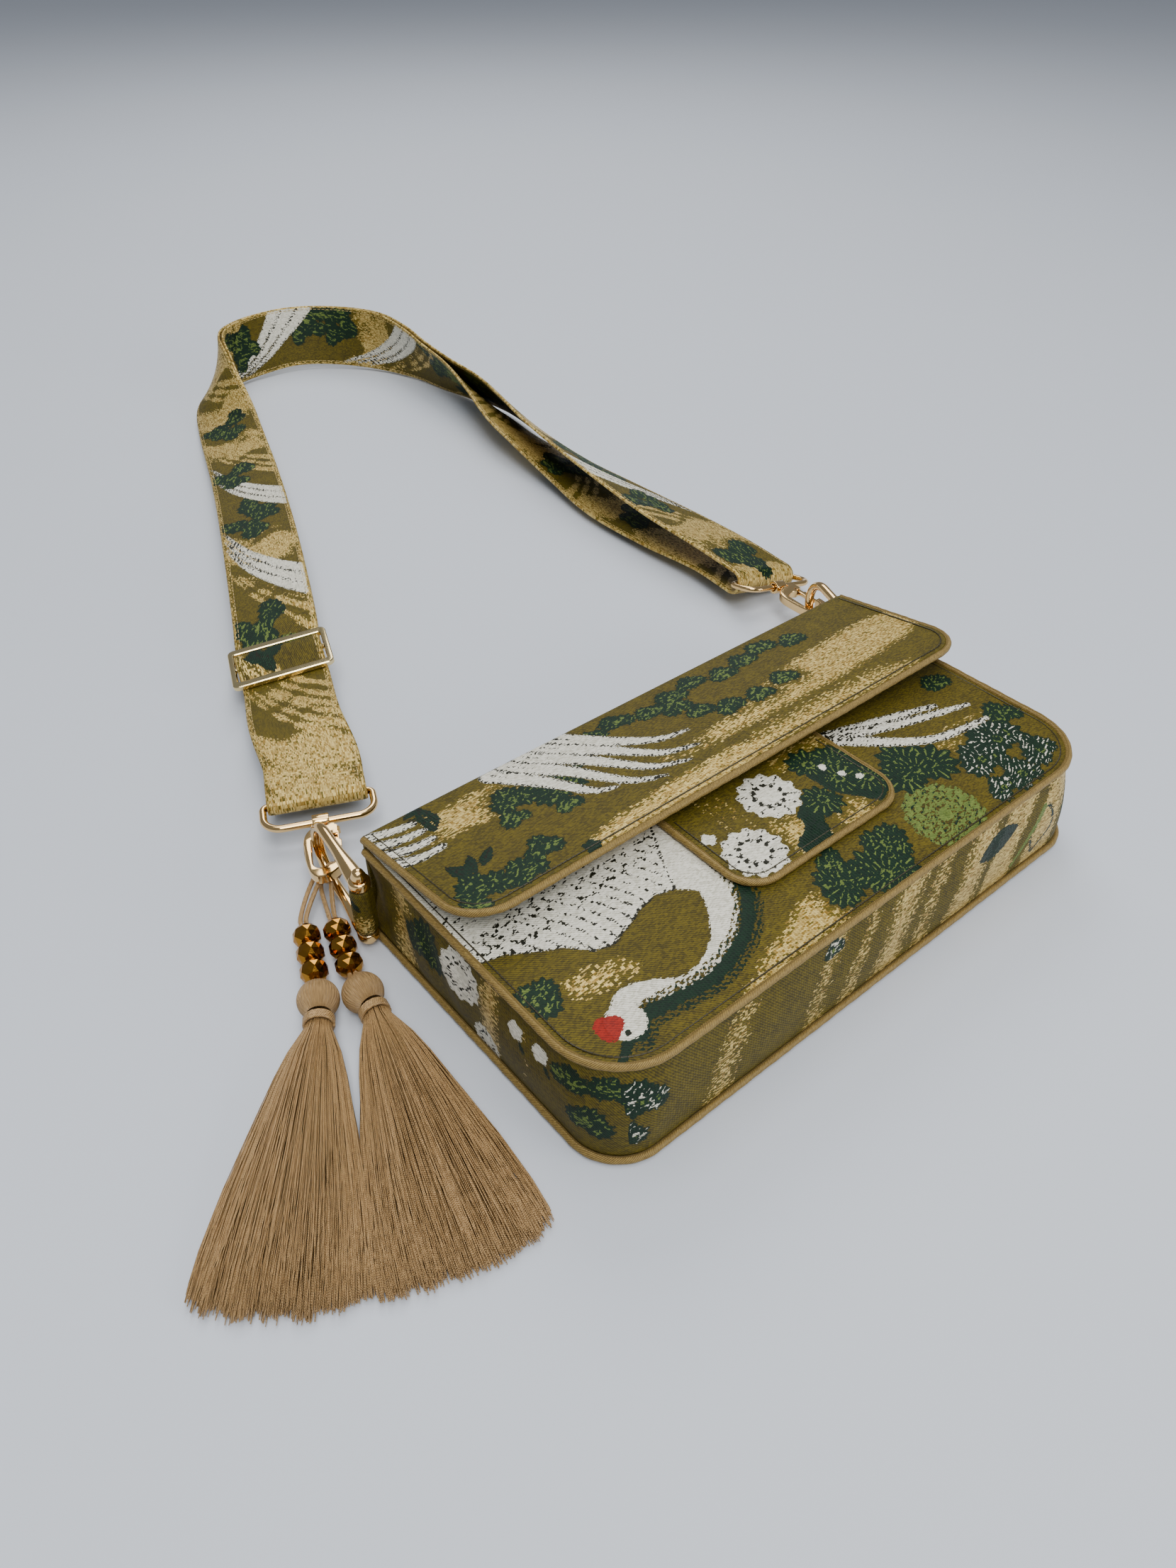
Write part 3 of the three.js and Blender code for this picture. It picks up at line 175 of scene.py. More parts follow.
def brocadeMaterial():
    t = Tree("brocade")
    flat, (u, v, _) = t.attribute("flat")
    white, green, pale = t.attribute("figureA")[1]
    gold, red, ink = t.attribute("figureB")[1]
    cell = t.node("ShaderNodeCombineXYZ", {}, {0: (u / threads["warp"]).math("FLOOR"),
                                               1: (v / threads["weft"]).math("FLOOR")})
    dice = t.node("ShaderNodeTexWhiteNoise", {"noise_dimensions": "2D"}, {"Vector": cell})
    jitter = (dice - 0.5) * 0.85
    soft = t.node("ShaderNodeTexNoise", {}, {"Vector": flat, "Scale": 0.12, "Detail": 3.0})
    warp = (u * (2 * math.pi / threads["warp"])).math("SINE")
    twill = ((u + v) * (2 * math.pi / 1.15)).math("SINE")
    ground = t.mix((twill * 0.22 + dice * 0.5 + soft * 0.5 - 0.12).math("ADD", 0.0, clamp=True),
                   threads["dark"], threads["olive"])
    spread = (gold * 0.13).math("MINIMUM", 0.93)
    goldMask = (spread - dice).step(-0.02, 0.04)
    moved = t.node("ShaderNodeVectorMath", {"operation": "SCALE"}, {0: cell, 3: 1.7})
    glint = t.node("ShaderNodeTexWhiteNoise", {"noise_dimensions": "2D"}, {"Vector": moved})
    goldColour = t.mix(glint, threads["goldDeep"], threads["gold"])
    colour = t.mix(goldMask, ground, goldColour)
    masks = [goldMask]
    for value, name in ((green, "green"), (pale, "pale"), (white, "white"), (red, "red"), (ink, "ink")):
        mask = (value + jitter).step(-0.08, 0.08)
        masks.append(mask)
        shade = t.mix((twill * 0.25 + dice * 0.6 + soft * 0.2 - 0.1).math("ADD", 0.0, clamp=True),
                      threads[name], threads[name + "Deep"])
        colour = t.mix(mask, colour, shade)
    raised = masks[1].math("MAXIMUM", masks[2]).math("MAXIMUM", masks[3])
    height = raised * 0.5 + goldMask * 0.35 + warp * 0.16 + twill * 0.22 + dice * 0.2
    bump = t.node("ShaderNodeBump", {}, {"Strength": 0.55, "Distance": 0.00025, "Height": height})
    t.set(Base_Color=colour, Roughness=0.62 - goldMask * 0.2 - masks[3] * 0.06,
          Metallic=goldMask * 0.35, Normal=bump, Specular_IOR_Level=0.26)
    return t.material


def threadMaterial(name, low, high, pitch, metallic=0.0, rough=0.5, lean=1.0):
    t = Tree(name)
    flat, (u, v, _) = t.attribute("flat")
    lines = ((u * lean + v) * (2 * math.pi / pitch)).math("SINE")
    noise = t.node("ShaderNodeTexNoise", {}, {"Vector": flat, "Scale": 0.9, "Detail": 3.0})
    mixed = (lines * 0.28 + noise * 0.9).math("ADD", 0.02, clamp=True)
    bump = t.node("ShaderNodeBump", {}, {"Strength": 0.6, "Distance": 0.0002, "Height": lines * 0.7 + noise})
    t.set(Base_Color=t.mix(mixed, low, high), Roughness=rough + noise * 0.12, Metallic=metallic, Normal=bump)
    return t.material


def metalMaterial(name, low, high, rough):
    t = Tree(name)
    place = t.node("ShaderNodeTexCoord", {}, {}, 3)
    cloud = t.node("ShaderNodeTexNoise", {}, {"Vector": place, "Scale": 60.0, "Detail": 4.0})
    fine = t.node("ShaderNodeTexNoise", {}, {"Vector": place, "Scale": 900.0, "Detail": 2.0})
    t.set(Base_Color=t.mix(cloud, low, high), Metallic=1.0, Roughness=rough + fine * 0.07)
    return t.material


def plainMaterial(name, low, high, scale, rough):
    t = Tree(name)
    place = t.node("ShaderNodeTexCoord", {}, {}, 3)
    noise = t.node("ShaderNodeTexNoise", {}, {"Vector": place, "Scale": scale, "Detail": 4.0})
    t.set(Base_Color=t.mix(noise, low, high), Roughness=rough)
    return t.material


materials = {
    "brocade": brocadeMaterial(),
    "goldCloth": threadMaterial("goldCloth", rgb(88, 66, 22), rgb(172, 144, 76), 0.8, 0.15, 0.45),
    "silk": threadMaterial("silk", rgb(84, 54, 22), rgb(236, 194, 132), 0.7, 0.12, 0.24),
    # seamShadow: near-black thread colour, painted shadow of the stitched groove inside the pipings
    "seamShadow": threadMaterial("seamShadow", rgb(30, 26, 8), rgb(62, 54, 20), 0.5),
    "roseGold": metalMaterial("roseGold", rgb(222, 180, 114), rgb(240, 206, 148), 0.08),
    "paleGold": metalMaterial("paleGold", rgb(220, 196, 138), rgb(236, 216, 164), 0.12),
    "bead": metalMaterial("bead", rgb(128, 84, 24), rgb(190, 138, 54), 0.05),
    "stitch": threadMaterial("stitch", rgb(150, 122, 62), rgb(214, 188, 124), 0.5),
    "floor": plainMaterial("floor", rgb(205, 210, 218), rgb(209, 214, 222), 2.0, 0.7),
}
print("materials", len(materials))


# Meshes

def makeMesh(name, points, faces, material, smooth=True, data=None):
    mesh = bpy.data.meshes.new(name)
    points = np.asarray(points, float) * mm
    mesh.from_pydata(points.tolist(), [], [tuple(f) for f in faces])
    mesh.materials.append(materials[material])
    mesh.polygons.foreach_set("use_smooth", [smooth] * len(mesh.polygons))
    for key, values in (data or {}).items():
        attribute = mesh.attributes.new(key, "FLOAT_VECTOR", "POINT")
        attribute.data.foreach_set("vector", np.asarray(values, np.float32).ravel())
    mesh.update()
    return addObject(name, mesh)


def volume(points, faces):
    p = np.asarray(points, float)
    total = 0.0
    for k in (4, 3):
        quads = np.array([f for f in faces if len(f) == k])
        if len(quads) == 0:
            continue
        a = p[quads[:, 0]]
        for i in range(2, k):
            total += np.einsum("ij,ij->i", a, np.cross(p[quads[:, i - 1]], p[quads[:, i]])).sum()
    return total


def outwards(points, faces):
    return [f[::-1] for f in faces] if volume(points, faces) < 0 else faces


def endFaces(rows, count):
    return [list(range(count))[::-1], [(rows - 1) * count + k for k in range(count)]]


def gridFaces(rows, cols, start=0, wrap=False):
    last = cols if wrap else cols - 1
    i, j = np.meshgrid(np.arange(rows - 1), np.arange(last), indexing="ij")
    k = (j + 1) % cols
    return (np.stack([i * cols + j, i * cols + k, (i + 1) * cols + k, (i + 1) * cols + j], -1)
            .reshape(-1, 4) + start)


def finishPiece(obj, slotName, body, *nodes):
    if nodes:
        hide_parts(*nodes)
    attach(obj, body)
    return obj


def shell(name, top, bottom, flat, figures):
    rows, cols = top.shape[:2]
    count = rows * cols
    above = gridFaces(rows, cols)
    below = gridFaces(rows, cols, count)[:, ::-1]
    rim = np.concatenate([np.arange(cols), np.arange(1, rows) * cols + cols - 1,
                          (rows - 1) * cols + np.arange(cols - 2, -1, -1), np.arange(rows - 2, 0, -1) * cols])
    after = np.roll(rim, -1)
    wall = np.stack([after, rim, rim + count, after + count], -1)
    points = np.concatenate([top.reshape(-1, 3), bottom.reshape(-1, 3)])
    faces = outwards(points, np.concatenate([above, below, wall]).tolist())
    data = {key: np.concatenate([field.reshape(-1, 3)] * 2) for key, field in {"flat": flat, **figures}.items()}
    return makeMesh(name, points, faces, "brocade", data=data)


def tube(name, path, radius, sides, material, side=(0, 0, 1), closed=False, ridge=0.0, twist=0.0):
    points, faces, flat = tubeParts(path, radius, sides, side, closed, ridge, twist)
    return makeMesh(name, points, faces, material, data={"flat": flat})


def slide(path, side, closed=False):
    p = np.asarray(path, float)
    if closed:
        t = np.roll(p, -1, 0) - np.roll(p, 1, 0)
    else:
        t = np.gradient(p, axis=0)
    t /= np.linalg.norm(t, axis=1)[:, None]
    w = np.array(side, float)
    ws = []
    for one in t:
        w = w - one * np.dot(one, w)
        w = w / np.linalg.norm(w)
        ws.append(w)
    ws = np.array(ws)
    return p, t, ws, np.cross(t, ws)


def tubeParts(path, radius, sides, side=(0, 0, 1), closed=False, ridge=0.0, twist=0.0):
    p, t, w, n = slide(path, side, closed)
    along = np.concatenate([[0], np.cumsum(np.linalg.norm(np.diff(p, axis=0), axis=1))])
    spin = np.arange(sides) / sides * 2 * math.pi
    r = np.broadcast_to(np.asarray(radius, float).reshape(-1, 1), (len(p), 1))
    r = r * (1 + ridge * np.cos(4 * spin[None, :] + twist * along[:, None]) ** 3
             - abs(ridge) * np.abs(np.sin(2 * spin[None, :] - twist * along[:, None] * 0.5)))
    rings = p[:, None] + w[:, None] * (r * np.cos(spin))[..., None] + n[:, None] * (r * np.sin(spin))[..., None]
    points = rings.reshape(-1, 3)
    faces = gridFaces(len(p), sides, wrap=True).tolist()
    if closed:
        last = (len(p) - 1) * sides
        faces += [[last + i, last + (i + 1) % sides, (i + 1) % sides, i] for i in range(sides)]
    else:
        faces += endFaces(len(p), sides)
    quads = [f for f in faces if len(f) == 4]
    if volume(points, quads) < 0:
        faces = [f[::-1] for f in faces]
    flat = np.stack(np.broadcast_arrays(along[:, None], spin[None, :] * np.mean(r), 0 * along[:, None]), -1)
    return points, faces, flat.reshape(-1, 3)


# Figures in the cloth. Each is a field of distances in millimetres, above zero inside.

farOutside = -4.0


def lineDistance(x, y, points, closed=False):
    pts = list(points) + ([points[0]] if closed else [])
    best = np.full(x.shape, 1e9)
    for (ax, ay), (bx, by) in zip(pts, pts[1:]):
        dx, dy = bx - ax, by - ay
        share = np.clip(((x - ax) * dx + (y - ay) * dy) / max(dx * dx + dy * dy, 1e-9), 0, 1)
        best = np.minimum(best, np.hypot(x - ax - share * dx, y - ay - share * dy))
    return best


def area(x, y, points):
    inside = np.zeros(x.shape, bool)
    for (ax, ay), (bx, by) in zip(points, list(points[1:]) + [points[0]]):
        crosses = (ay > y) != (by > y)
        at = ax + (y - ay) * (bx - ax) / (by - ay if by != ay else 1e-9)
        inside ^= crosses & (x < at)
    d = lineDistance(x, y, points, True)
    return np.where(inside, d, -d)


def smoothLine(points, each=8):
    p = [np.array(q, float) for q in points]
    out = []
    for i in range(len(p) - 1):
        a, b, c, d = p[max(i - 1, 0)], p[i], p[i + 1], p[min(i + 2, len(p) - 1)]
        for k in range(each):
            s = k / each
            out.append(tuple(0.5 * (2 * b + (c - a) * s + (2 * a - 5 * b + 4 * c - d) * s * s
                                    + (3 * b - a - 3 * c + d) * s ** 3)))
    out.append(tuple(p[-1]))
    return out


class Figures:
    def __init__(self, x, y):
        self.x = x
        self.y = y
        names = ("white", "green", "pale", "gold", "red", "ink")
        self.layers = {name: np.full(x.shape, farOutside) for name in names}

    def add(self, name, field):
        self.layers[name] = np.maximum(self.layers[name], np.maximum(field, farOutside))

    def cut(self, name, field):
        self.layers[name] = np.minimum(self.layers[name], -field)

    def clear(self, field, *names):
        for name in names or ("green", "pale", "gold", "ink", "white"):
            self.cut(name, field)

    def polygon(self, name, points):
        field = area(self.x, self.y, points)
        self.add(name, field)
        return field

    def stroke(self, name, points, width, end=None):
        line = smoothLine(points)
        count = len(line)
        best = np.full(self.x.shape, -1e9)
        for i in range(count - 1):
            share = i / (count - 1)
            half = (width + ((end if end is not None else width) - width) * share) / 2
            best = np.maximum(best, half - lineDistance(self.x, self.y, line[i:i + 2]))
        self.add(name, best)
        return best

    def disc(self, name, x, y, radius, lobes=0, depth=0.08):
        dx, dy = self.x - x, self.y - y
        field = radius * (1 + depth * np.cos(lobes * np.arctan2(dy, dx))) - np.hypot(dx, dy)
        self.add(name, field)
        return field

    # Pine: fans of dark needles side by side, with pale threads between them
    def pine(self, x, y, radius, pale="pale", aim=90):
        kit = np.random.default_rng(int(abs(x * 31 + y * 17)) + 1)
        for turn, share in ((-78, 0.5), (78, 0.5), (0, 0.62), (30, 0.1)):
            turned = aim + turn + float(kit.uniform(-18, 18))
            reach = radius * share
            self.fan(x + reach * math.cos(math.radians(turned)) * 0.8,
                     y + reach * math.sin(math.radians(turned)) * 0.7,
                     radius * float(kit.uniform(0.5, 0.68)), turned, pale)

    def fan(self, x, y, radius, aim, pale):
        dx, dy = self.x - x, self.y - y
        turn = np.arctan2(dy, dx) - math.radians(aim)
        turn = (turn + math.pi) % (2 * math.pi) - math.pi
        out = np.hypot(dx, dy) + 1e-6
        edge = radius * (0.72 + 0.4 * np.cos(turn * 0.55)) * (1 + 0.13 * np.cos(11 * turn))
        body = edge - out
        self.clear(body - 0.3, "gold", "white", "pale", "ink")
        self.add("green", body)
        spokes = (np.cos(15 * turn) - 0.6) * np.minimum(out, 5) * 0.3
        self.add(pale, np.minimum(np.minimum(spokes, out - edge * 0.42), edge * 0.88 - out))
        self.add("pale", np.minimum(0.3 - np.abs(out - edge * 0.24), edge))

    # Round flower with a ring of dark squares
    def flower(self, x, y, radius, squares=11, ring=0.5):
        body = self.disc("white", x, y, radius, 12, 0.07)
        self.clear(body, "gold", "green", "pale")
        self.add("white", body)
        for k in range(squares):
            turn = 2 * math.pi * k / squares
            cx, cy = x + radius * ring * math.cos(turn), y + radius * ring * math.sin(turn)
            self.add("ink", radius * 0.085 - np.maximum(np.abs(self.x - cx), np.abs(self.y - cy)))
        dx, dy = self.x - x, self.y - y
        turn = np.arctan2(dy, dx)
        out = np.hypot(dx, dy)
        petals = 0.25 - np.abs(np.sin(6 * turn)) * out / 6
        self.add("ink", np.minimum(petals, np.minimum(out - radius * 0.66, radius - out)))
        self.add("pale", radius * 0.16 - out)

    def chrysanthemum(self, x, y, radius, petals=14):
        dx, dy = self.x - x, self.y - y
        turn = np.arctan2(dy, dx)
        out = np.hypot(dx, dy)
        body = radius * (1 + 0.08 * np.abs(np.cos(petals * turn / 2))) - out
        self.clear(body, "gold", "green", "white")
        self.add("pale", body)
        for row in range(4):
            level = radius * (0.3 + 0.23 * row)
            scallop = np.abs(np.cos(petals * turn / 2 + row * math.pi / 2)) * radius * 0.13
            ring = 0.5 - np.abs(out - level - scallop + radius * 0.06)
            spoke = 0.3 - np.abs(np.sin(petals * turn / 2 + row * math.pi / 2)) * out / petals * 2
            spoke = np.minimum(spoke, np.minimum(out - level + radius * 0.1, level + radius * 0.02 - out))
            for line in (ring, spoke):
                self.cut("pale", line)
                self.add("green", np.minimum(line, body))
        self.add("gold", (radius * 0.14 - out) * 6)

    # Long curved feather, white with a dark dotted edge
    def feather(self, points, width, end):
        body = self.stroke("white", points, width, end)
        self.clear(body, "gold", "green")
        dots = np.sin(self.x * 2.3 + self.y * 2.9) * 0.3
        self.add("ink", 0.32 + dots - np.abs(body - 0.5))
        self.add("ink", np.minimum(0.28 - np.abs(body - width * 0.5 + 0.3), body))

    def leaf(self, x, y, length, aim, colour="pale", width=0.36):
        dx, dy = self.x - x, self.y - y
        c, s = math.cos(math.radians(aim)), math.sin(math.radians(aim))
        a, b = dx * c + dy * s, -dx * s + dy * c
        body = (1 - (2 * a / length) ** 2) * length * width / 2 - np.abs(b)
        self.add(colour, np.minimum(body, 2))
        self.add("ink", np.minimum(0.2 - np.abs(b), body))

    def mist(self, points, strength=1.0):
        field = area(self.x, self.y, smoothLine(points + [points[0]], 5)[:-1])
        self.add("gold", field * 1.6 * strength + 1.4)

    def vectors(self):
        k = self.layers
        return {"figureA": np.stack([k["white"], k["green"], k["pale"]], -1),
                "figureB": np.stack([k["gold"], k["red"], k["ink"]], -1)}

    def relief(self):
        k = self.layers
        top = np.maximum(np.maximum(k["white"], k["green"]), k["pale"])
        return 0.2 * np.clip(top / 0.7, 0, 1) - 0.08 * np.clip(k["ink"] / 0.4, 0, 1)


def frontFigures(x, y):
    f = Figures(x, y)
    f.mist([(-60, -64), (-48, -66), (-30, -67), (-16, -64), (-14, -54), (-26, -50), (-40, -55), (-57, -60)])
    f.mist([(-70, -70), (-48, -70), (-46, -64), (-66, -63)], 1.5)
    f.mist([(-112, -26), (-92, -30), (-88, -38), (-108, -36)], 0.6)
    f.mist([(62, -22), (90, -24), (108, -27), (104, -37), (80, -35), (60, -30)], 0.8)
    f.mist([(-34, 6), (30, 8), (30, -14), (-30, -12)], 0.4)
    for x0, y0, r, aim in ((-8, -56, 11, 120), (6, -62, 12, 80), (16, -52, 9, 40), (-4, -46, 7, 150)):
        f.pine(x0, y0, r, "pale", aim)
    f.chrysanthemum(46, -55, 15)
    f.pine(57, -34, 16, "pale", 80)
    for x0, y0, r in ((82, -46, 10), (98, -42, 12), (88, -60, 9), (106, -56, 9), (76, -60, 7)):
        f.pine(x0, y0, r, "white")
    f.pine(114, -33, 9)
    f.pine(110, -3, 7)
    f.pine(-120, -27, 8, "pale", 20)
    for tip, bend in (((108, -19.6), (78, -12)), ((106, -30), (74, -24)), ((96, -12), (70, -5))):
        f.feather([(42, 2), bend, tip], 7, 2)
    wing = [(-127, 68), (-40, 68), (-40, 10), (-52, -12), (-56, -21), (-63, -19), (-70, -20), (-77, -23),
            (-87, -26), (-94, -24), (-100, -17), (-108, -12), (-116, -6), (-125, -3), (-128, 0)]
    body = f.polygon("white", wing)
    f.clear(body, "gold", "green", "pale")
    # Feathers: long ones side by side at the lower edge, rows of short ones above
    slope = x + 0.35 * y + 2.2 * np.sin(y / 9)
    comb = np.abs((slope / 4.6) % 1 - 0.5) * 4.6
    dashes = 0.2 * np.sign(np.sin(y * 1.2 + np.floor(slope / 4.6) * 2) + 0.5)
    f.add("ink", np.minimum(np.minimum(0.3 + dashes - comb, body - 0.7), 4 - y))
    for k in range(9):
        level = 34 - 4.4 * k + 1.5 * math.sin(k * 2.2)
        bow = np.abs(np.sin((x + 0.3 * y + k * 2.6) * math.pi / 5.2))
        row = np.abs(y - level + 2.6 * bow - (x + 80) * 0.08)
        f.add("ink", np.minimum(0.3 + dashes * 0.5 - row, body - 0.8))
    f.add("ink", np.minimum(0.35 - np.abs(body - 0.2), 9 - y))
    neck = [(-40, -8), (-43, -24), (-49, -36), (-58, -46), (-70, -52), (-81, -52.5), (-90, -47), (-98, -44.5),
            (-104, -49)]
    column = f.stroke("white", neck[:4], 15, 8)
    tail = f.stroke("white", neck[3:], 7.5, 8)
    f.clear(np.maximum(column, tail), "gold", "green", "pale")
    stripe = f.stroke("green", [(-35, -22), (-38, -36), (-49, -47.5), (-60, -52.5), (-73, -55.5), (-88, -54),
                                (-98, -53), (-104, -57)], 4.4, 5)
    f.polygon("white", [(-62, 12), (-33, 12), (-37, -24), (-50, -27), (-57, -20), (-66, -8)])
    f.cut("white", stripe - 0.3)
    shaded = np.minimum(stripe + 2.8, 0.5 * np.sin(x * 2.1 + y * 3.3))
    f.cut("white", shaded)
    f.add("green", shaded)
    f.disc("white", -104, -50.5, 6.2)
    f.cut("green", 5.4 - np.hypot(x + 104.5, y + 51))
    f.disc("red", -109.2, -49, 4.6, 3, 0.1)
    f.disc("green", -106, -54, 2.3)
    f.disc("white", -106, -54, 1.5)
    f.cut("white", 0.9 - np.hypot(x + 106, y + 54))
    f.disc("ink", -106, -54, 0.9)
    f.stroke("green", [(-109, -57), (-113, -60), (-118, -62.8)], 3.6, 1.4)
    return f


def flapFigures(x, y):
    f = Figures(x, y)
    f.mist([(-121, 38), (-104, 42), (-62, 39), (-60, 58), (-92, 60), (-120, 56)], 0.8)
    f.mist([(-27, 24), (17, 28), (67, 40), (128, 42), (126, 22), (70, 16), (20, 17), (-14, 18)])
    f.mist([(-72, 0), (-69, 8), (-40, 12), (8, 12), (12, 0)], 1.2)
    f.mist([(8, 0), (12, 12), (58, 13), (92, 10), (96, 0)], 0.5)
    for x0, y0, r in ((-74, 44, 9), (-58, 36, 11), (-48, 46, 8), (-62, 27, 6), (-80, 34, 6),
                      (-110, 12, 9), (-95, 8, 8), (-84, 14, 8), (-118, 5, 6)):
        f.pine(x0, y0, r)
    for x0, aim in ((-112, 100), (-106, 70), (-100, 40), (-110, 130)):
        f.leaf(x0, 25, 11, aim, "green")
    f.disc("green", -71, 4, 3.4, 5, 0.15)
    for k in range(9):
        f.pine(-28 + 13.6 * k, 54 + 3 * math.sin(2.1 * k), 7.5)
    for k in range(6):
        turn = math.radians(150 + 48 * k / 1.6)
        f.pine(38 + 30 * math.cos(turn), 46 + 17 * math.sin(turn), 6.5)
    for k in range(7):
        f.leaf(-104 + 2 * (k % 3), 66 - 2.1 * k, 9, 20 + 40 * (k % 4), "green")
    for tip, root in (((-43, 23), (-70, 64)), ((-26, 16), (-62, 64)), ((-13, 17), (-54, 65)),
                      ((-4, 22), (-46, 66)), ((0, 32), (-38, 67))):
        bend = (root[0] + 5 + 0.2 * (tip[0] - root[0]), root[1] - 19)
        after = (bend[0] + 0.5 * (tip[0] - bend[0]), bend[1] + 0.72 * (tip[1] - bend[1]) - 1)
        f.feather([root, bend, after, tip], 9.5, 0.8)
    for k in range(4):
        f.feather([(-126, 66 - 7 * k), (-116, 62 - 7 * k), (-107, 60 - 6.4 * k)], 6, 3)
    return f


def tabFigures(x, y):
    f = Figures(x, y)
    for k in range(4):
        f.stroke("gold", [(-24 + 2.8 * k, 6), (-23.5 + 2.8 * k, -9), (-24 + 2.8 * k, -21)], 2.4)
    f.mist([(-12, -20), (2, -22), (3, -38), (-12, -40)], 0.7)
    f.mist([(10, -18), (26, -20), (24, -40), (9, -40)], 0.7)
    f.mist([(14, 4), (40, 4), (40, -8), (16, -6)], 0.6)
    zigzag = [(-12, -40), (-11, -34), (-2, -30), (0, -24), (8, -20), (12, -26), (6, -32), (2, -40)]
    f.polygon("green", zigzag)
    right = f.polygon("green", [(19, -6), (28, -2), (40, -6), (41, -34), (30, -38), (24, -30), (19, -22)])
    f.clear(right, "gold")
    for cx, cy, aim in ((24, -8, 60), (33, -12, 20), (27, -20, -30), (36, -26, -60), (14, -24, 200)):
        f.fan(cx, cy, 8, aim, "pale")
    for k in range(5):
        f.stroke("gold", [(8 + 5 * k, -38), (12 + 5 * k, -33), (13 + 5 * k, -27)], 1.7, 0.8)
    for cx, cy in ((27, -12), (30, -19), (34, -24)):
        f.disc("white", cx, cy, 1.5)
    f.flower(0, -10.4, 11.5)
    f.flower(-25, -27.5, 11.5)
    f.disc("white", -33, -13, 2.8, 4, 0.2)
    return f


def gussetFigures(run, z, side):
    f = Figures(run, z)
    if side == "bottom":
        for x0, z0, r in ((-118, 12, 8), (-111, 27, 9), (-27, 34, 5)):
            f.pine(x0, z0, r, "white")
        for low, high, strength in ((-86, -74, 0.4), (-40, -31, 0.4), (-22, -14, 0.5), (-6, 12, 0.5),
                                    (17, 27, 0.5), (36, 55, 0.6), (58, 78, 1.2), (84, 104, 1.2)):
            f.mist([(low, 1), (high, 1), (high + 2, 18), (high + 12, 42), (low + 15, 42), (low + 4, 20)],
                   strength)
        for k in range(3):
            f.stroke("gold", [(-6 + 6 * k, 4), (4 + 3 * k, 32 - 7 * k), (18 - 2 * k, 33 - 7 * k),
                              (26 - 5 * k, 6)], 1.6)
        f.leaf(65, 28, 26, 8, "green", 0.42)
        f.stroke("green", [(92, 8), (101, 18), (96, 30), (88, 20), (92, 8)], 1.5)
        f.stroke("pale", [(80, 8), (94, 30)], 2, 3)
        f.pine(118, 20, 10)
    else:
        f.mist([(37, 2), (50, 2), (50, 41), (37, 41)], 0.5)
        f.pine(28, 24, 11)
        f.flower(7, 28, 10.5)
        f.flower(-6, 7, 7)
        f.mist([(-14, 2), (-5, 2), (-5, 41), (-14, 41)], 0.8)
        for y0 in (-24, -36):
            f.disc("white", y0, 31, 3.6, 5, 0.1)
            f.leaf(y0 - 3.5, 26, 6, 60, "green")
        f.stroke("gold", [(-27, 8), (-30, 20), (-28, 34)], 2.2)
        for y0, z0 in ((-48, 30), (-56, 16), (-62, 32)):
            f.pine(y0, z0, 7)
    return f


def strapFigures(u, v):
    f = Figures(u, v)
    kit = np.random.default_rng(21)
    order = ("mist mist gold gold leaf pine gold feather mist pine pine feather "
             "pine gold mist pine mist gold mist mist pine mist gold pine").split()
    first = strapSize["tail"] + 8
    for i in range(int((float(u.max()) - first) / 26)):
        at = first + 26 * i
        kind = order[i % len(order)]
        low = float(kit.uniform(-10, 10))
        if kind == "mist":
            f.mist([(at - 6, -20), (at + 16, -21), (at + 30, -8), (at + 20, 6), (at + 34, 20), (at + 2, 21),
                    (at - 10, 4)], 0.9)
        elif kind == "pine":
            for k in range(4):
                f.pine(at + 3 + 7 * k, low + 9 * math.sin(2.3 * k + low), 9, "pale", 40 + 70 * k)
        elif kind == "leaf":
            f.chrysanthemum(at + 22, -7, 11, 12)
            for k in range(7):
                f.leaf(at + 4 + 3 * k, 6 + 5 * math.sin(2.4 * k), 13, 30 + 53 * k, "green", 0.5)
        else:
            for k in range(3):
                line = [(at + 10 * k + u0, v0) for u0, v0 in ((-22, -25), (-8, -8), (14, 8), (40, 18))]
                if kind == "feather":
                    f.feather(line, 9, 0.8)
                else:
                    f.layers["gold"] = np.maximum(f.layers["gold"], f.stroke("gold", line, 7.5, 2) * 5)
    streak = np.sin(u * 0.3 + 2.2 * np.sin(v * 0.17) + 0.7 * np.sin(u * 0.11))
    f.layers["gold"] = f.layers["gold"] - 7 * np.clip(streak - 0.1, 0, 1)
    edge = 20 - np.abs(v)
    f.add("gold", np.minimum(2.6 - edge, 3) * 3)
    for key in ("white", "green", "pale", "ink"):
        f.layers[key] = np.minimum(f.layers[key], edge - 1.2)
    return f


# Body of the bag

def frontHeight(x, y):
    across = np.minimum(np.abs(2 * x / bag["width"]), 1)
    upward = np.minimum(np.abs(2 * y / bag["height"]), 1)
    return bag["depth"] + bag["crown"] * (1 - across ** 4) * (1 - upward ** 4)


def flapHeight(x, y):
    share = np.clip((topEdge - y) / flapSize["length"], 0, 1)
    across = np.minimum(np.abs(2 * (x - flapSize["shift"]) / flapSize["width"]), 1)
    lift = flapSize["crown"] * np.sin(math.pi * share) * (1 - across ** 4)
    return flapSize["hinge"] + (flapSize["edge"] - flapSize["hinge"]) * share + lift


def cornered(low, high, radius, cell):
    steps = max(int(radius * 1.6 / cell), 8)
    corner = low + radius * (1 - np.cos(np.linspace(0, math.pi / 2, steps)))
    rest = np.linspace(low + radius, high, max(int((high - low - radius) / cell), 2))
    return np.concatenate([corner, rest[1:]])


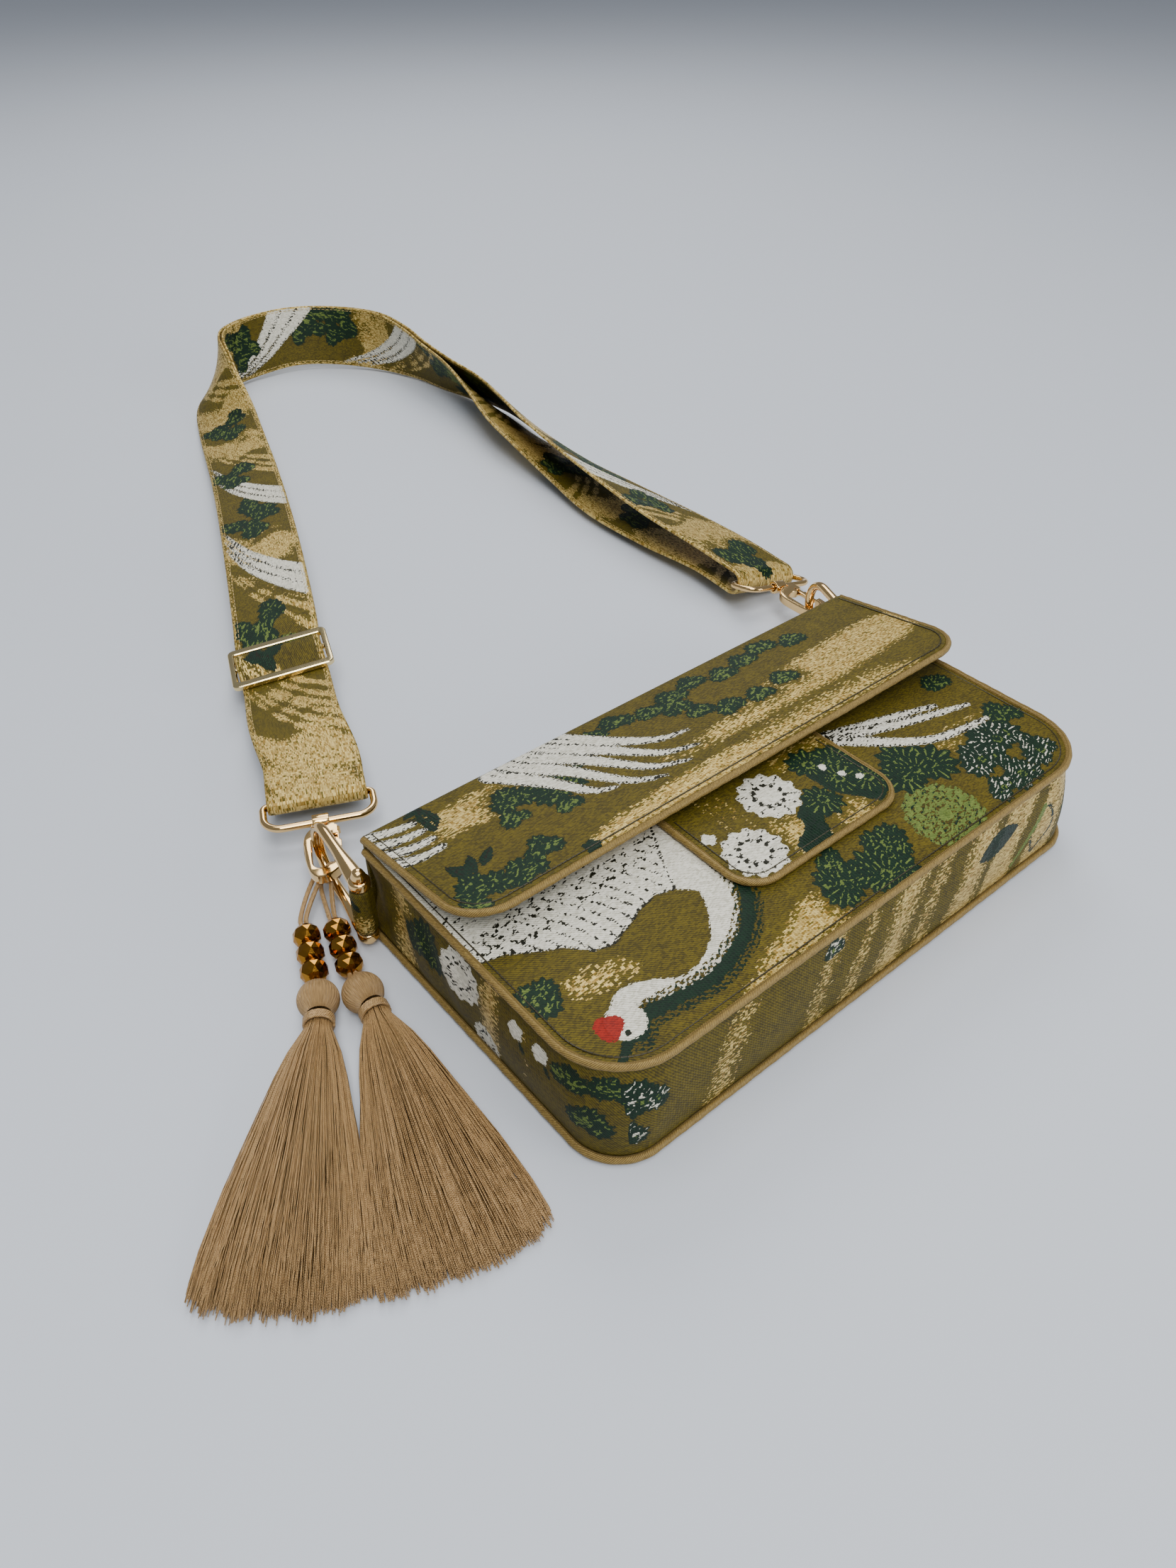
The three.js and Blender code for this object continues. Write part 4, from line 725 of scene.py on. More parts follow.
def plateGrid(width, bottom, top, radius, shift, cell):
    ys = cornered(bottom, top, radius, cell)
    cols = int(width / cell)
    s = np.linspace(-1, 1, cols)
    short = np.clip(radius - (ys - bottom), 0, radius)
    half = width / 2 - radius + np.sqrt(radius ** 2 - short ** 2)
    half = np.maximum(half, width / 2 - radius)
    y, k = np.meshgrid(ys, s, indexing="ij")
    return shift + k * half[:, None], y


def plate(name, node, grid, lift, thick, figures, wobble=0.0):
    x, y = grid
    f = figures(x, y)
    z = lift(x, y)
    sway = wobble * (np.sin(x / 23 + y / 17) * np.cos(y / 13 - x / 41))
    top = np.stack([x, y, z + f.relief() + sway], -1)
    low = np.stack([x, y, z - thick], -1)
    flat = np.stack([x, y, 0 * x], -1)
    finishPiece(shell(name, top, low, flat, f.vectors()), "brocade", "root", node)


def outlineU(width, bottom, top, radius, shift=0.0, pinch=0.0):
    half = width / 2
    arcs = []
    for way, start, end in ((-1, math.pi, 1.5 * math.pi), (1, 1.5 * math.pi, 2 * math.pi)):
        a = np.linspace(start, end, 40)
        arcs.append(np.stack([shift + way * (half - radius) + radius * np.cos(a),
                              bottom + radius + radius * np.sin(a)], -1))
    middle = (top + bottom + radius) / 2
    return np.concatenate([[(shift - half + pinch, top), (shift - half + pinch * 0.25, (top + middle) / 2),
                            (shift - half, middle)], arcs[0], arcs[1],
                           [(shift + half, middle), (shift + half - pinch * 0.25, (top + middle) / 2),
                            (shift + half - pinch, top)]])


def resample(line, count):
    line = np.asarray(line, float)
    d = np.concatenate([[0], np.cumsum(np.linalg.norm(np.diff(line, axis=0), axis=1))])
    at = np.linspace(0, d[-1], count)
    return np.stack([np.interp(at, d, line[:, i]) for i in range(line.shape[1])], -1)


def buildBody():
    front = plateGrid(bag["width"] - 1.6, -bag["height"] / 2 + 0.8, 64.7, bag["frontRadius"] - 0.8, 0, 1.0)
    plate("frontPanel", "front_panel", front, frontHeight, bag["cloth"], frontFigures, 0.25)
    back = plateGrid(bag["backWidth"] - 1.6, -topEdge + 0.8, topEdge, bag["backRadius"] - 0.8, 0, 2.3)
    plate("backPanel", "back_panel", back, lambda x, y: 0 * x + bag["cloth"], bag["cloth"], backFigures)
    rows, count = 34, 480
    low, high = 3.3, 40.9
    top, inner, flats = [], [], []
    for i in range(rows):
        s = i / (rows - 1)
        z = low + (high - low) * s
        swell = math.sin(math.pi * s)
        bulge = bag["bulge"] * swell
        wide = bag["backWidth"] + (bag["width"] - bag["backWidth"]) * s

        def line(inset):
            return resample(outlineU(wide + 2 * (bulge - inset), -topEdge + 2.8 * s - bulge + inset,
                                     stripInside - 0.35, bag["backRadius"] + 7 * s + bulge - inset, 0,
                                     bag["pinch"] * swell), count)
        outer, under = line(0), line(bag["cloth"])
        run = np.linspace(0, 1, count)
        ends = np.exp(-((run - 0.06) / 0.07) ** 2) + np.exp(-((run - 0.94) / 0.07) ** 2)
        dent = swell * (0.55 * np.sin(run * 61) + 1.1 * ends * np.sin(run * 140 + 4 * s))
        inward = lineNormals(outer) * np.clip(0.6 + dent, 0, 2)[:, None]
        top.append(np.column_stack([outer - inward, np.full(count, z)]))
        inner.append(np.column_stack([under - inward, np.full(count, z)]))
        flats.append(np.column_stack([run * 506, np.full(count, z), np.zeros(count)]))
    top, inner, flats = np.array(top), np.array(inner), np.array(flats)
    x, y, z = top[..., 0], top[..., 1], top[..., 2]
    bottom = gussetFigures(x, z, "bottom").vectors()
    side = gussetFigures(y, z, "side").vectors()
    where = (y < -bag["height"] / 2 + 12)[..., None] & (np.abs(x) < 116)[..., None]
    figures = {k: np.where(where, bottom[k], side[k]) for k in bottom}
    finishPiece(shell("gussetCloth", top, inner, flats, figures), "brocade", "root", "gusset")


def lineNormals(line):
    t = np.gradient(line, axis=0)
    t /= np.linalg.norm(t, axis=1)[:, None]
    normals = np.column_stack([-t[:, 1], t[:, 0]])
    return normals * np.sign(np.sum(normals * line, 1).mean())


def backFigures(x, y):
    f = Figures(x, y)
    f.mist([(-110, -10), (-40, 4), (40, -6), (110, 8), (112, 30), (30, 20), (-40, 28), (-112, 16)], 0.7)
    for x0, y0, r in ((-80, -36, 13), (-60, -46, 9), (70, 44, 12), (90, 38, 9), (20, -44, 10), (-20, 46, 10)):
        f.pine(x0, y0, r)
    f.flower(-96, 44, 12)
    f.chrysanthemum(64, -38, 15)
    f.flower(0, -6, 10)
    return f


def buildFlap():
    half = bag["cloth"] / 2
    inset = flapSize["width"] / 2 - 0.9
    corner = flapSize["radius"] - 0.9
    left = corner * (1 - np.cos(np.linspace(0, math.pi / 2, 22)))
    d = np.concatenate([left, np.linspace(corner, 2 * inset - corner, 215)[1:-1], 2 * inset - left[::-1]])
    x = flapSize["shift"] - inset + d
    fromSide = np.minimum(np.minimum(d, 2 * inset - d), corner)
    pull = corner - np.sqrt(np.maximum(corner ** 2 - (corner - fromSide) ** 2, 0))
    free = topEdge - flapSize["length"] + 0.9 + pull
    foldY = topEdge - half - flapSize["fold"]
    foldZ = flapHeight(x, foldY + 0 * x) - flapSize["fold"]
    outer, inner, ys = [], [], []
    for z in np.linspace(bag["cloth"] + 0.35, 1, 26):
        share = (z - 1) / (bag["cloth"] - 0.65)
        height = foldZ + (bag["cloth"] + 0.35 - foldZ) * share
        ripple = 0.4 * np.sin(x / 19) * math.sin(math.pi * share)
        outer.append(np.stack([x, topEdge - 0.4 + ripple, height], -1))
        inner.append(np.stack([x, topEdge - 0.4 - bag["cloth"] + ripple, height], -1))
        ys.append(72 + share * 40 + 0 * x)
    for angle in np.linspace(4, 86, 12):
        c, s = math.cos(math.radians(angle)), math.sin(math.radians(angle))
        ease = 0.4 * c
        for rows, r in ((outer, flapSize["fold"] + half), (inner, flapSize["fold"] - half)):
            rows.append(np.stack([x, foldY + r * c - ease + 0 * x, foldZ + r * s], -1))
        ys.append(foldY + 6 * (1 - angle / 90) + 0 * x)
    for share in np.linspace(0.012, 1, 66):
        y = foldY + (free - foldY) * share
        z = flapHeight(x, y) + 0.35 * np.sin(x / 27 + 1) * np.sin(math.pi * share)
        outer.append(np.stack([x, y, z + half], -1))
        inner.append(np.stack([x, y, z - half], -1))
        ys.append(y)
    outer, inner = np.array(outer), np.array(inner)
    y = np.array(ys)
    wide = np.broadcast_to(x, y.shape)
    f = flapFigures(wide, y)
    outer[38:, :, 2] += f.relief()[38:]
    flat = np.stack([wide, y, 0 * y], -1)
    finishPiece(shell("flapCloth", outer, inner, flat, f.vectors()), "brocade", "root", "flap")


def buildTab():
    grid = plateGrid(tabSize["width"] - 1.8, -tabSize["length"] + 0.9, tabSize["tuck"],
                     tabSize["radius"] - 0.9, tabSize["shift"], 0.75)
    plate("closureTab", "closure_tab", grid, lambda x, y: frontHeight(x, y) + tabSize["rise"] + 1,
          tabSize["thick"], tabFigures, 0.1)


def buildPipings():
    table = {
        "frontPiping": ("front_piping", (bag["width"], -67, 64, 26, 0), lambda x, y: bag["depth"] + 0 * x),
        "backPiping": ("back_piping", (bag["backWidth"], -69.8, 66.9, 19, 0), lambda x, y: 1.85 + 0 * x),
        "flapPiping": ("flap_piping", (flapSize["width"], 0.8, 66.4, 16.4, 2.8), flapHeight),
        "tabPiping": ("tab_piping", (tabSize["width"], -39.5, 22, 12, 1),
                      lambda x, y: frontHeight(x, y) + tabSize["rise"]),
    }
    for name, (node, sizes, lift) in table.items():
        line = resample(outlineU(*sizes), 520 if name != "tabPiping" else 220)
        path = np.column_stack([line, lift(line[:, 0], line[:, 1])])
        wave = 1 + 0.035 * np.sin(np.arange(len(path)) * 0.9) + 0.03 * np.sin(np.arange(len(path)) * 0.31)
        obj = tube(name, path, bag["piping"] * 0.92 * wave, 14, "goldCloth")
        finishPiece(obj, "gold_cloth", "root", node)


# Strap, along the same sections as the CAD solid

def heading(angle):
    a = math.radians(angle)
    return np.array([math.cos(a), math.sin(a), 0.0])


upward = np.array([0.0, 0.0, 1.0])
sides = {
    "left": {"sign": -1, "pinOut": 5.1, "shackle": 83, "seat": 16.5, "claw": 243, "clawHeight": 14,
             "ring": 66, "ringShift": 0, "tilt": 0, "pitch": 0},
    "right": {"sign": 1, "pinOut": 11.3, "shackle": 68, "seat": 24.2, "claw": 266, "clawHeight": 14.4,
              "ring": 88, "ringShift": 3, "tilt": 13, "pitch": -12},
}
for side in sides.values():
    side["pin"] = np.array([side["sign"] * (bag["width"] / 2 + side["pinOut"]), topEdge - 8.2, 0.0])
    side["archHeight"] = hardware["base"] + hardware["spread"] / 2
    radius = hardware["spread"] / 2
    drop = side["archHeight"] - side["clawHeight"]
    reach = hardware["shackleLength"] - radius + math.sqrt(radius ** 2 - drop ** 2)
    knuckle = side["pin"] + heading(side["shackle"]) * reach
    knuckle[2] = side["clawHeight"]
    claw = side["claw"]
    knuckle = knuckle - heading(claw) * side["seat"] + heading(claw + 90) * hardware["clawSide"]
    tilt, pitch = math.radians(side["tilt"]), math.radians(side["pitch"])
    t = heading(side["ring"]) * math.cos(pitch) + upward * math.sin(pitch)
    w = heading(side["ring"] + 90) * math.cos(tilt) + upward * math.sin(tilt)
    w = unit(w - t * np.dot(t, w))
    reach = (hardware["ringDepth"] - hardware["ringWire"]) / 2
    side["knuckle"] = knuckle
    side["frame"] = (knuckle + t * reach - w * side["ringShift"], t, w, np.cross(t, w))
    side["bar"] = side["frame"][0] + t * reach

outerRoute = [
    (.177, .27, .48, 68, 7), (.297, .437, .53, 66, 7), (.427, .631, .34, 66, 7), (.537, .814, .285, 66, 19),
    (.6, .921, .47, 60, 50), (.685, .985, .54, 38, 88), (.84, 1.012, .53, 5, 108),
    (.925, 1.002, .53, -17, 110), (1.003, .967, .53, -40, 106), (1.07, .906, .53, -58, 95),
    (1.096, .832, .53, -74, 77),
    (1.1, .762, .495, -84, 65), (1.104, .696, .47, -92, 57), (1.107, .62, .45, -95, 52),
    (1.076, .526, .46, -98, 47), (1.055, .469, .48, -99, 41), (1.032, .384, .49, -97, 35),
    (1.021, .297, .48, -93, 26), (1.012, .183, .46, -92, 16), (1.01, .09, .44, -92, 13)]
innerRoute = [
    (1.01, .09, .14, -92, 9), (1.009, .183, .11, -92, 5), (1.012, .286, .1, -93, 5),
    (1.034, .38, .14, -97, 10), (1.044, .469, .22, -99, 21), (1.053, .535, .28, -98, 29),
    (1.079, .614, .35, -96, 40),
    (1.094, .696, .43, -92, 54)]


def routeFrame(across, reach, lift, turn, lean):
    left, right = sides["left"]["bar"], sides["right"]["bar"]
    origin = np.array([left[0] + (right[0] - left[0]) * across, left[1] + reach * strapSize["reach"],
                       lift * strapSize["width"]])
    aside, a = heading(turn + 90), math.radians(lean)
    return (origin, heading(turn), aside * math.cos(a) - upward * math.sin(a),
            aside * math.sin(a) + upward * math.cos(a))


def shifted(f, along, rise):
    return (f[0] + f[1] * along + f[3] * rise, *f[1:])


def flipped(f):
    return (f[0], f[1], f[2], -f[3])


def roundBar(f, radius, start, end, steps):
    out = []
    for a in np.linspace(start, end, steps + 1):
        c, s = math.cos(math.radians(a)), math.sin(math.radians(a))
        out.append((f[0] + f[1] * radius * s + f[3] * radius * c, f[1], f[2], f[3] * c + f[1] * s))
    return out


class Spline:
    def __init__(self, points, centripetal):
        self.p = [np.array(q, float) for q in points]
        self.centripetal = centripetal

    def at(self, knot):
        p, last = self.p, len(self.p) - 1
        i = min(max(int(math.floor(knot)), 0), last - 1)
        s = knot - i
        b, c = p[i], p[i + 1]
        a = p[i - 1] if i > 0 else 2 * p[0] - p[1]
        d = p[i + 2] if i + 2 <= last else 2 * p[last] - p[last - 1]
        if self.centripetal:
            g0, g1, g2 = [max(np.linalg.norm(q - r), 1e-8) ** 0.5 for q, r in ((b, a), (c, b), (d, c))]
            t1 = ((b - a) / g0 - (c - a) / (g0 + g1) + (c - b) / g1) * g1
            t2 = ((c - b) / g1 - (d - b) / (g1 + g2) + (d - c) / g2) * g1
        else:
            t1, t2 = (c - a) / 2, (d - b) / 2
        return (b + t1 * s + (-3 * b + 3 * c - 2 * t1 - t2) * s ** 2 + (2 * b - 2 * c + t1 + t2) * s ** 3)

    def tangent(self, knot):
        last = len(self.p) - 1
        return unit(self.at(min(knot + 1e-3, last)) - self.at(max(knot - 1e-3, 0)))


def smoothRun(frames):
    curve, twist = Spline([f[0] for f in frames], True), Spline([f[2] for f in frames], False)

    def section(knot):
        t = curve.tangent(knot)
        w = twist.at(knot)
        w = unit(w - t * np.dot(t, w))
        n = np.cross(t, w)
        if np.dot(n, frames[min(int(math.floor(knot + 0.5)), len(frames) - 1)][3]) < 0:
            n = -n
        return (curve.at(knot), t, w, n, knot)
    run = []
    for k in range(len(frames) - 1):
        steps = max(math.ceil(np.linalg.norm(frames[k][0] - frames[k + 1][0]) / strapSize["step"]), 2)
        run += [section(k + i / steps) for i in range(steps)]
    return run + [section(len(frames) - 1)]


def stretch(run, start, end):
    return [s for s in run if start - 1e-9 <= s[4] <= end + 1e-9]


def layerUnder(run):
    return [flipped(shifted(s[:4], 0, -strapSize["layer"])) for s in reversed(run)]


def barFrame(side, turn):
    along = side["frame"][2]
    w = along * np.sign(np.dot(along, heading(turn + 90)))
    t = heading(turn)
    t = unit(t - w * np.dot(t, w))
    return (side["bar"], t, w, np.cross(t, w))


slider = routeFrame(.133, .211, .41, 69, 7)


def strapSections():
    bars, seat, layer = strapSize["sliderBars"], strapSize["seat"], strapSize["layer"]
    leftBar = barFrame(sides["left"], sides["left"]["ring"])
    rightBar = barFrame(sides["right"], sides["right"]["ring"] - 180)
    wrap = hardware["ringWire"] / 2 + 0.35 + strapSize["thick"] / 2
    rightFold = shifted(rightBar, wrap - strapSize["fold"], 0)
    climbed = shifted(leftBar, strapSize["tail"], wrap + 1)[0][2]
    between = routeFrame(.063, .105, climbed / strapSize["width"], 68, 4)
    leftFold = roundBar(leftBar, wrap, 180, 360, 16)
    fold = roundBar(rightFold, strapSize["fold"], 0, 180, 20)
    sliderFold = roundBar(slider, seat, 180, 360, 10)
    climb = [shifted(leftBar, 6, wrap), shifted(leftBar, 22.5, wrap + 0.4), between,
             shifted(slider, -bars - 5, -seat - 0.3), shifted(slider, -bars - 2, -seat),
             shifted(slider, -bars + 2, -seat)]
    over = [shifted(slider, -bars / 2 + 0.6, layer / 2), shifted(slider, -1.6, seat + layer),
            shifted(slider, 1.6, seat + layer), shifted(slider, bars / 2 - 0.6, layer / 2),
            shifted(slider, bars - 2, -seat), shifted(slider, bars + 2, -seat)]
    frames = [leftFold[-1], *climb, *over, *[routeFrame(*r) for r in outerRoute], fold[0]]
    outer = smoothRun(frames)
    tail = layerUnder(stretch(outer, 2, 3))
    beside = layerUnder(stretch(outer, 11, 24))
    tuckIn = smoothRun([tail[-1], flipped(shifted(leftBar, 11, wrap - layer - 0.2)),
                        flipped(shifted(leftBar, 5, -wrap + 0.3)), leftFold[0]])
    inner = smoothRun([fold[-1], *[flipped(routeFrame(*r)) for r in innerRoute], beside[0]])
    tuckUnder = smoothRun([beside[-1], flipped(shifted(slider, bars / 2, -seat - layer * 0.7)),
                           flipped(shifted(slider, 2, -seat)), sliderFold[0]])
    parts = [tail, tuckIn[1:-1], leftFold, outer[1:-1], fold, inner[1:-1], beside, tuckUnder[1:-1],
             sliderFold]
    return [s[:4] for part in parts for s in part]


def buildStrap():
    sections = strapSections()
    origin = np.array([s[0] for s in sections])
    w = np.array([s[2] for s in sections])
    n = np.array([s[3] for s in sections])
    along = np.concatenate([[0], np.cumsum(np.linalg.norm(np.diff(origin, axis=0), axis=1))])
    v = np.linspace(-20, 20, 38)
    half = strapSize["thick"] / 2
    edge = np.clip((20 - np.abs(v)) / 1.6, 0, 1)
    thick = half * (0.55 + 0.45 * np.sqrt(edge)) - 0.12 * np.exp(-((20 - np.abs(v) - 2.6) / 0.6) ** 2)
    u, across = np.meshgrid(along, v, indexing="ij")
    f = strapFigures(u, across)
    middle = origin[:, None] + w[:, None] * across[..., None]
    rise = n[:, None] * (thick[None, :] + f.relief() * 0.35)[..., None]
    top, low = middle + rise, middle - rise
    flat = np.stack([u, across, 0 * u], -1)
    obj = finishPiece(shell("strapCloth", top, low, flat, f.vectors()), "brocade", "root", "strap")
    print("strap", round(float(along[-1])), "mm", len(sections), "sections")
    return obj, origin, w, n, along


buildBody()
buildFlap()
buildTab()
buildPipings()
print("body")
strap, strapLine, strapW, strapN, strapAlong = buildStrap()


# Cloth loops at the top corners

def buildSideLoop(name, side):
    tall = hardware["spread"] - hardware["flatThick"] - 0.7
    wall = 125.3 + bag["bulge"] - 0.6
    r = hardware["loop"] / 2
    stem = r * 0.6
    anchor = stripInside - 0.7 - 2 * stem
    sign, pin = side["sign"], side["pin"]
    line = [(sign * wall, anchor - stem * 0.8)]
    for a in np.linspace(-1.75, 1.75, 30):
        line.append((pin[0] + sign * r * math.cos(a), pin[1] + r * math.sin(a)))
    line.append((sign * wall, anchor + stem * 0.8))
    line = resample(line + [line[0]], 64)[:-1]
    rows = 26
    centre = line.mean(0)
    points, flat = [], []
    for i in range(rows):
        s = i / (rows - 1)
        z = side["archHeight"] + (s - 0.5) * tall
        shrink = 1 - 0.16 * (2 * abs(s - 0.5)) ** 8
        points.append(np.column_stack([centre + (line - centre) * shrink, np.full(len(line), z)]))
        flat.append(np.column_stack([np.arange(len(line)) * 0.6, np.full(len(line), z), np.zeros(len(line))]))
    points = np.concatenate(points)
    faces = outwards(points, gridFaces(rows, len(line), wrap=True).tolist() + endFaces(rows, len(line)))
    flat = np.concatenate(flat)
    f = Figures(flat[:, 0], flat[:, 1])
    f.mist([(6, 8), (20, 10), (20, 18), (5, 17)], 0.7)
    f.leaf(14, 24, 9, 40, "green")
    data = {"flat": flat, **f.vectors()}
    obj = makeMesh(f"sideLoop{name.title()}", points, faces, "brocade", data=data)
    return finishPiece(obj, "brocade", "root", f"side_loop_{name}")


# Metal fittings

def buildShackle(name, side):
    t, across = heading(side["shackle"]), heading(side["shackle"] - 90)
    radius = hardware["spread"] / 2
    straight = hardware["shackleLength"] - radius
    rows = []
    for share in np.linspace(0, 1, 16):
        ease = min(share / 0.8, 1)
        ease = ease * ease * (3 - 2 * ease)
        rows.append((share * straight, -radius, 0, hardware["flat"] + (hardware["wire"] - hardware["flat"]) * ease,
                     hardware["flatThick"] + (hardware["wire"] - hardware["flatThick"]) * ease))
    wire = hardware["wire"]
    bend = [(straight + radius * math.cos(a), radius * math.sin(a), math.degrees(a) + 90, wire, wire)
            for a in np.linspace(-math.pi / 2, math.pi / 2, 40)[1:-1]]
    rows = rows + bend + [(a, -b, 180, c, d) for a, b, _, c, d in reversed(rows)]
    points = []
    count = 28
    for along, out, turn, wide, thick in rows:
        centre = side["pin"] + t * along
        centre[2] = side["archHeight"] + out
        a = math.radians(turn)
        outward = t * math.sin(a) - upward * math.cos(a)
        for k in range(count):
            spin = 2 * math.pi * k / count
            points.append(centre + across * wide * 0.475 * math.cos(spin)
                          + outward * thick * 0.475 * math.sin(spin))
    faces = outwards(points, gridFaces(len(rows), count, wrap=True).tolist() + endFaces(len(rows), count))
    for end in (-1, 1):
        start = len(points)
        low = side["archHeight"] + end * radius
        profile = [(0.01, -1.9), (3.3, -1.9), (3.8, -1.6), (4.0, -1.1),
                   (4.0, 1.1), (3.8, 1.6), (3.3, 1.9), (0.01, 1.9)]
        ring = 36
        for r, z in profile:
            for k in range(ring):
                a = 2 * math.pi * k / ring
                points.append(side["pin"] + np.array([r * math.cos(a), r * math.sin(a), low + z]))
        faces += outwards(points, gridFaces(len(profile), ring, start, True).tolist())
    obj = makeMesh(f"shackle{name.title()}", points, faces, "roseGold")
    return finishPiece(obj, "rose_gold", "root", f"shackle_{name}")


def buildRing(name, side):
    origin, t, w, n = side["frame"]
    reach = (hardware["ringDepth"] - hardware["ringWire"]) / 2
    half = (hardware["ringWidth"] - hardware["ringWire"]) / 2
    corner = hardware["ringCorner"]
    line = []
    arcs = ((reach - corner, half - corner, corner, 0, 9), (0, half - reach, reach, 90, 16),
            (0, reach - half, reach, 180, 16), (reach - corner, corner - half, corner, 270, 9))
    for cx, cy, r, start, steps in arcs:
        for angle in np.radians(np.linspace(start, start + 90, steps)):
            line.append((cx + r * math.cos(angle), cy + r * math.sin(angle)))
    line = resample(line + [line[0]], 220)[:-1]
    path = [origin + t * a + w * b for a, b in line]
    obj = tube(f"strapRing{name.title()}", path, hardware["ringWire"] / 2, 22, "roseGold", n, True)
    return finishPiece(obj, "rose_gold", "root", f"strap_ring_{name}")


# The CAD node's own shape with its sharp edges rounded
def copyNode(node, name, material, slotName, body, bevel):
    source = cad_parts[node]
    mesh = source.data.copy()
    mesh.transform(source.matrix_world)
    obj = addObject(name, mesh)
    sharpAngle = math.radians(35)
    b = bmesh.new()
    b.from_mesh(mesh)
    bmesh.ops.remove_doubles(b, verts=b.verts, dist=2e-6)
    bmesh.ops.dissolve_limit(b, angle_limit=math.radians(3), verts=b.verts, edges=b.edges)
    sharp = [e for e in b.edges if len(e.link_faces) == 2 and e.calc_face_angle() > sharpAngle]
    bmesh.ops.bevel(b, geom=sharp, offset=bevel * mm, segments=3, profile=0.5, affect="EDGES",
                    clamp_overlap=True)
    bmesh.ops.recalc_face_normals(b, faces=b.faces)
    for face in b.faces:
        face.smooth = True
    for e in b.edges:
        e.smooth = len(e.link_faces) != 2 or e.calc_face_angle() < sharpAngle
    b.to_mesh(mesh)
    b.free()
    mesh.materials.clear()
    mesh.materials.append(materials[material])
    finishPiece(obj, slotName, body, node)


for sideName, side in sides.items():
    buildSideLoop(sideName, side)
    buildShackle(sideName, side)
    buildRing(sideName, side)
    for node, pieceName, body, bevel in (("shackle_pin", "shacklePin", "root", 0.2),
                                         ("clasp_knuckle", "claspKnuckle", "root", 0.3),
                                         ("clasp_hook", "claspHook", f"clasp_{sideName}", 0.35),
                                         ("clasp_lever", "claspLever", f"lever_{sideName}", 0.25)):
        copyNode(f"{node}_{sideName}", pieceName + sideName.title(), "roseGold", "rose_gold", body, bevel)
copyNode("slider", "sliderFrame", "paleGold", "pale_gold", "root", 0.35)
print("fittings")


# Tassels

tassels = {
    "a": {"out": 18.1, "up": 13.2, "bead": 249, "stem": 247, "head": 242, "skirt": 233, "gap": 3.2,
          "down": 56, "spread": 1},
    "b": {"out": 8.1, "up": 8.6, "bead": 253.5, "stem": 257, "head": 265, "skirt": 254.5, "gap": 4.6,
          "down": 72, "spread": 1.03},
}
# Share of the skirt's length, of its spread and of the head's size
skirtTable = np.array([(0, 0.16, 0.56), (0.03, 0.2, 0.6), (0.09, 0.3, 0.72), (0.2, 0.42, 0.74),
                       (0.42, 0.61, 0.66), (0.68, 0.82, 0.5), (0.88, 0.95, 0.36), (1, 1, 0.22)])


def strandPath(s):
    side = sides["left"]
    reach = hardware["spread"] / 2
    arch = side["pin"] + heading(side["shackle"]) * (hardware["shackleLength"] - reach)
    arch[2] = side["archHeight"]
    down = math.radians(s["down"])
    centre = arch + heading(side["shackle"]) * reach * math.cos(down) - upward * reach * math.sin(down)
    along = heading(side["shackle"]) * math.sin(down) + upward * math.cos(down)
    away = s["beads"][0] - centre
    away = unit(away - along * np.dot(away, along))
    beside = np.cross(along, away)
    hold = hardware["wire"] / 2 + 0.35 + tasselSize["cord"] / 2
    run, cross = heading(s["bead"]), heading(s["bead"] + 90)
    way = 1 if np.dot(cross, beside) > 0 else -1
    apart = tasselSize["cord"] / 2 + 0.1
    end = s["headAt"] - heading(s["head"]) * (tasselSize["head"] / 2 + 0.6)
    half = tasselSize["beadLength"] / 2

    def strand(sign):
        c = cross * sign * way * apart
        first, second, third = s["beads"]
        return [end + c, third + run * (half + 0.8) + c, third + run * half * 0.6 + c, second + c,
                first - run * half + c, first - run * (half + 5) + c]
    loop = [centre + beside * hold + away * hold * 0.6, centre + beside * hold * 0.8 - away * hold * 0.7,
            centre - away * hold * 1.05, centre - beside * hold * 0.8 - away * hold * 0.7,
            centre - beside * hold + away * hold * 0.6]
    curve = Spline(strand(1) + loop + strand(-1)[::-1], True)
    return resample([curve.at(k) for k in np.linspace(0, len(curve.p) - 1, 700)], 420)


def buildBead(name, node, at, turn):
    run, cross = heading(turn), heading(turn + 90)
    rows = [(-1, 0.42), (-0.78, 0.74), (-0.3, 0.97), (0.3, 0.97), (0.78, 0.74), (1, 0.42)]
    count = 11
    points, faces = [], []
    for i, (a, r) in enumerate(rows):
        for k in range(count):
            spin = 2 * math.pi * (k + (0.5 if i % 2 else 0)) / count
            points.append(at + run * a * tasselSize["beadLength"] / 2
                          + (cross * math.cos(spin) + upward * math.sin(spin)) * r * tasselSize["bead"] / 2)
    for i in range(len(rows) - 1):
        for k in range(count):
            j = (k + 1) % count
            a, b, c, d = i * count + k, i * count + j, (i + 1) * count + k, (i + 1) * count + j
            faces += [[a, b, c], [b, d, c]] if i % 2 == 0 else [[a, b, d], [a, d, c]]
    faces = outwards(points, faces + endFaces(len(rows), count))
    return finishPiece(makeMesh(name, points, faces, "bead", False), "bead", "root", node)


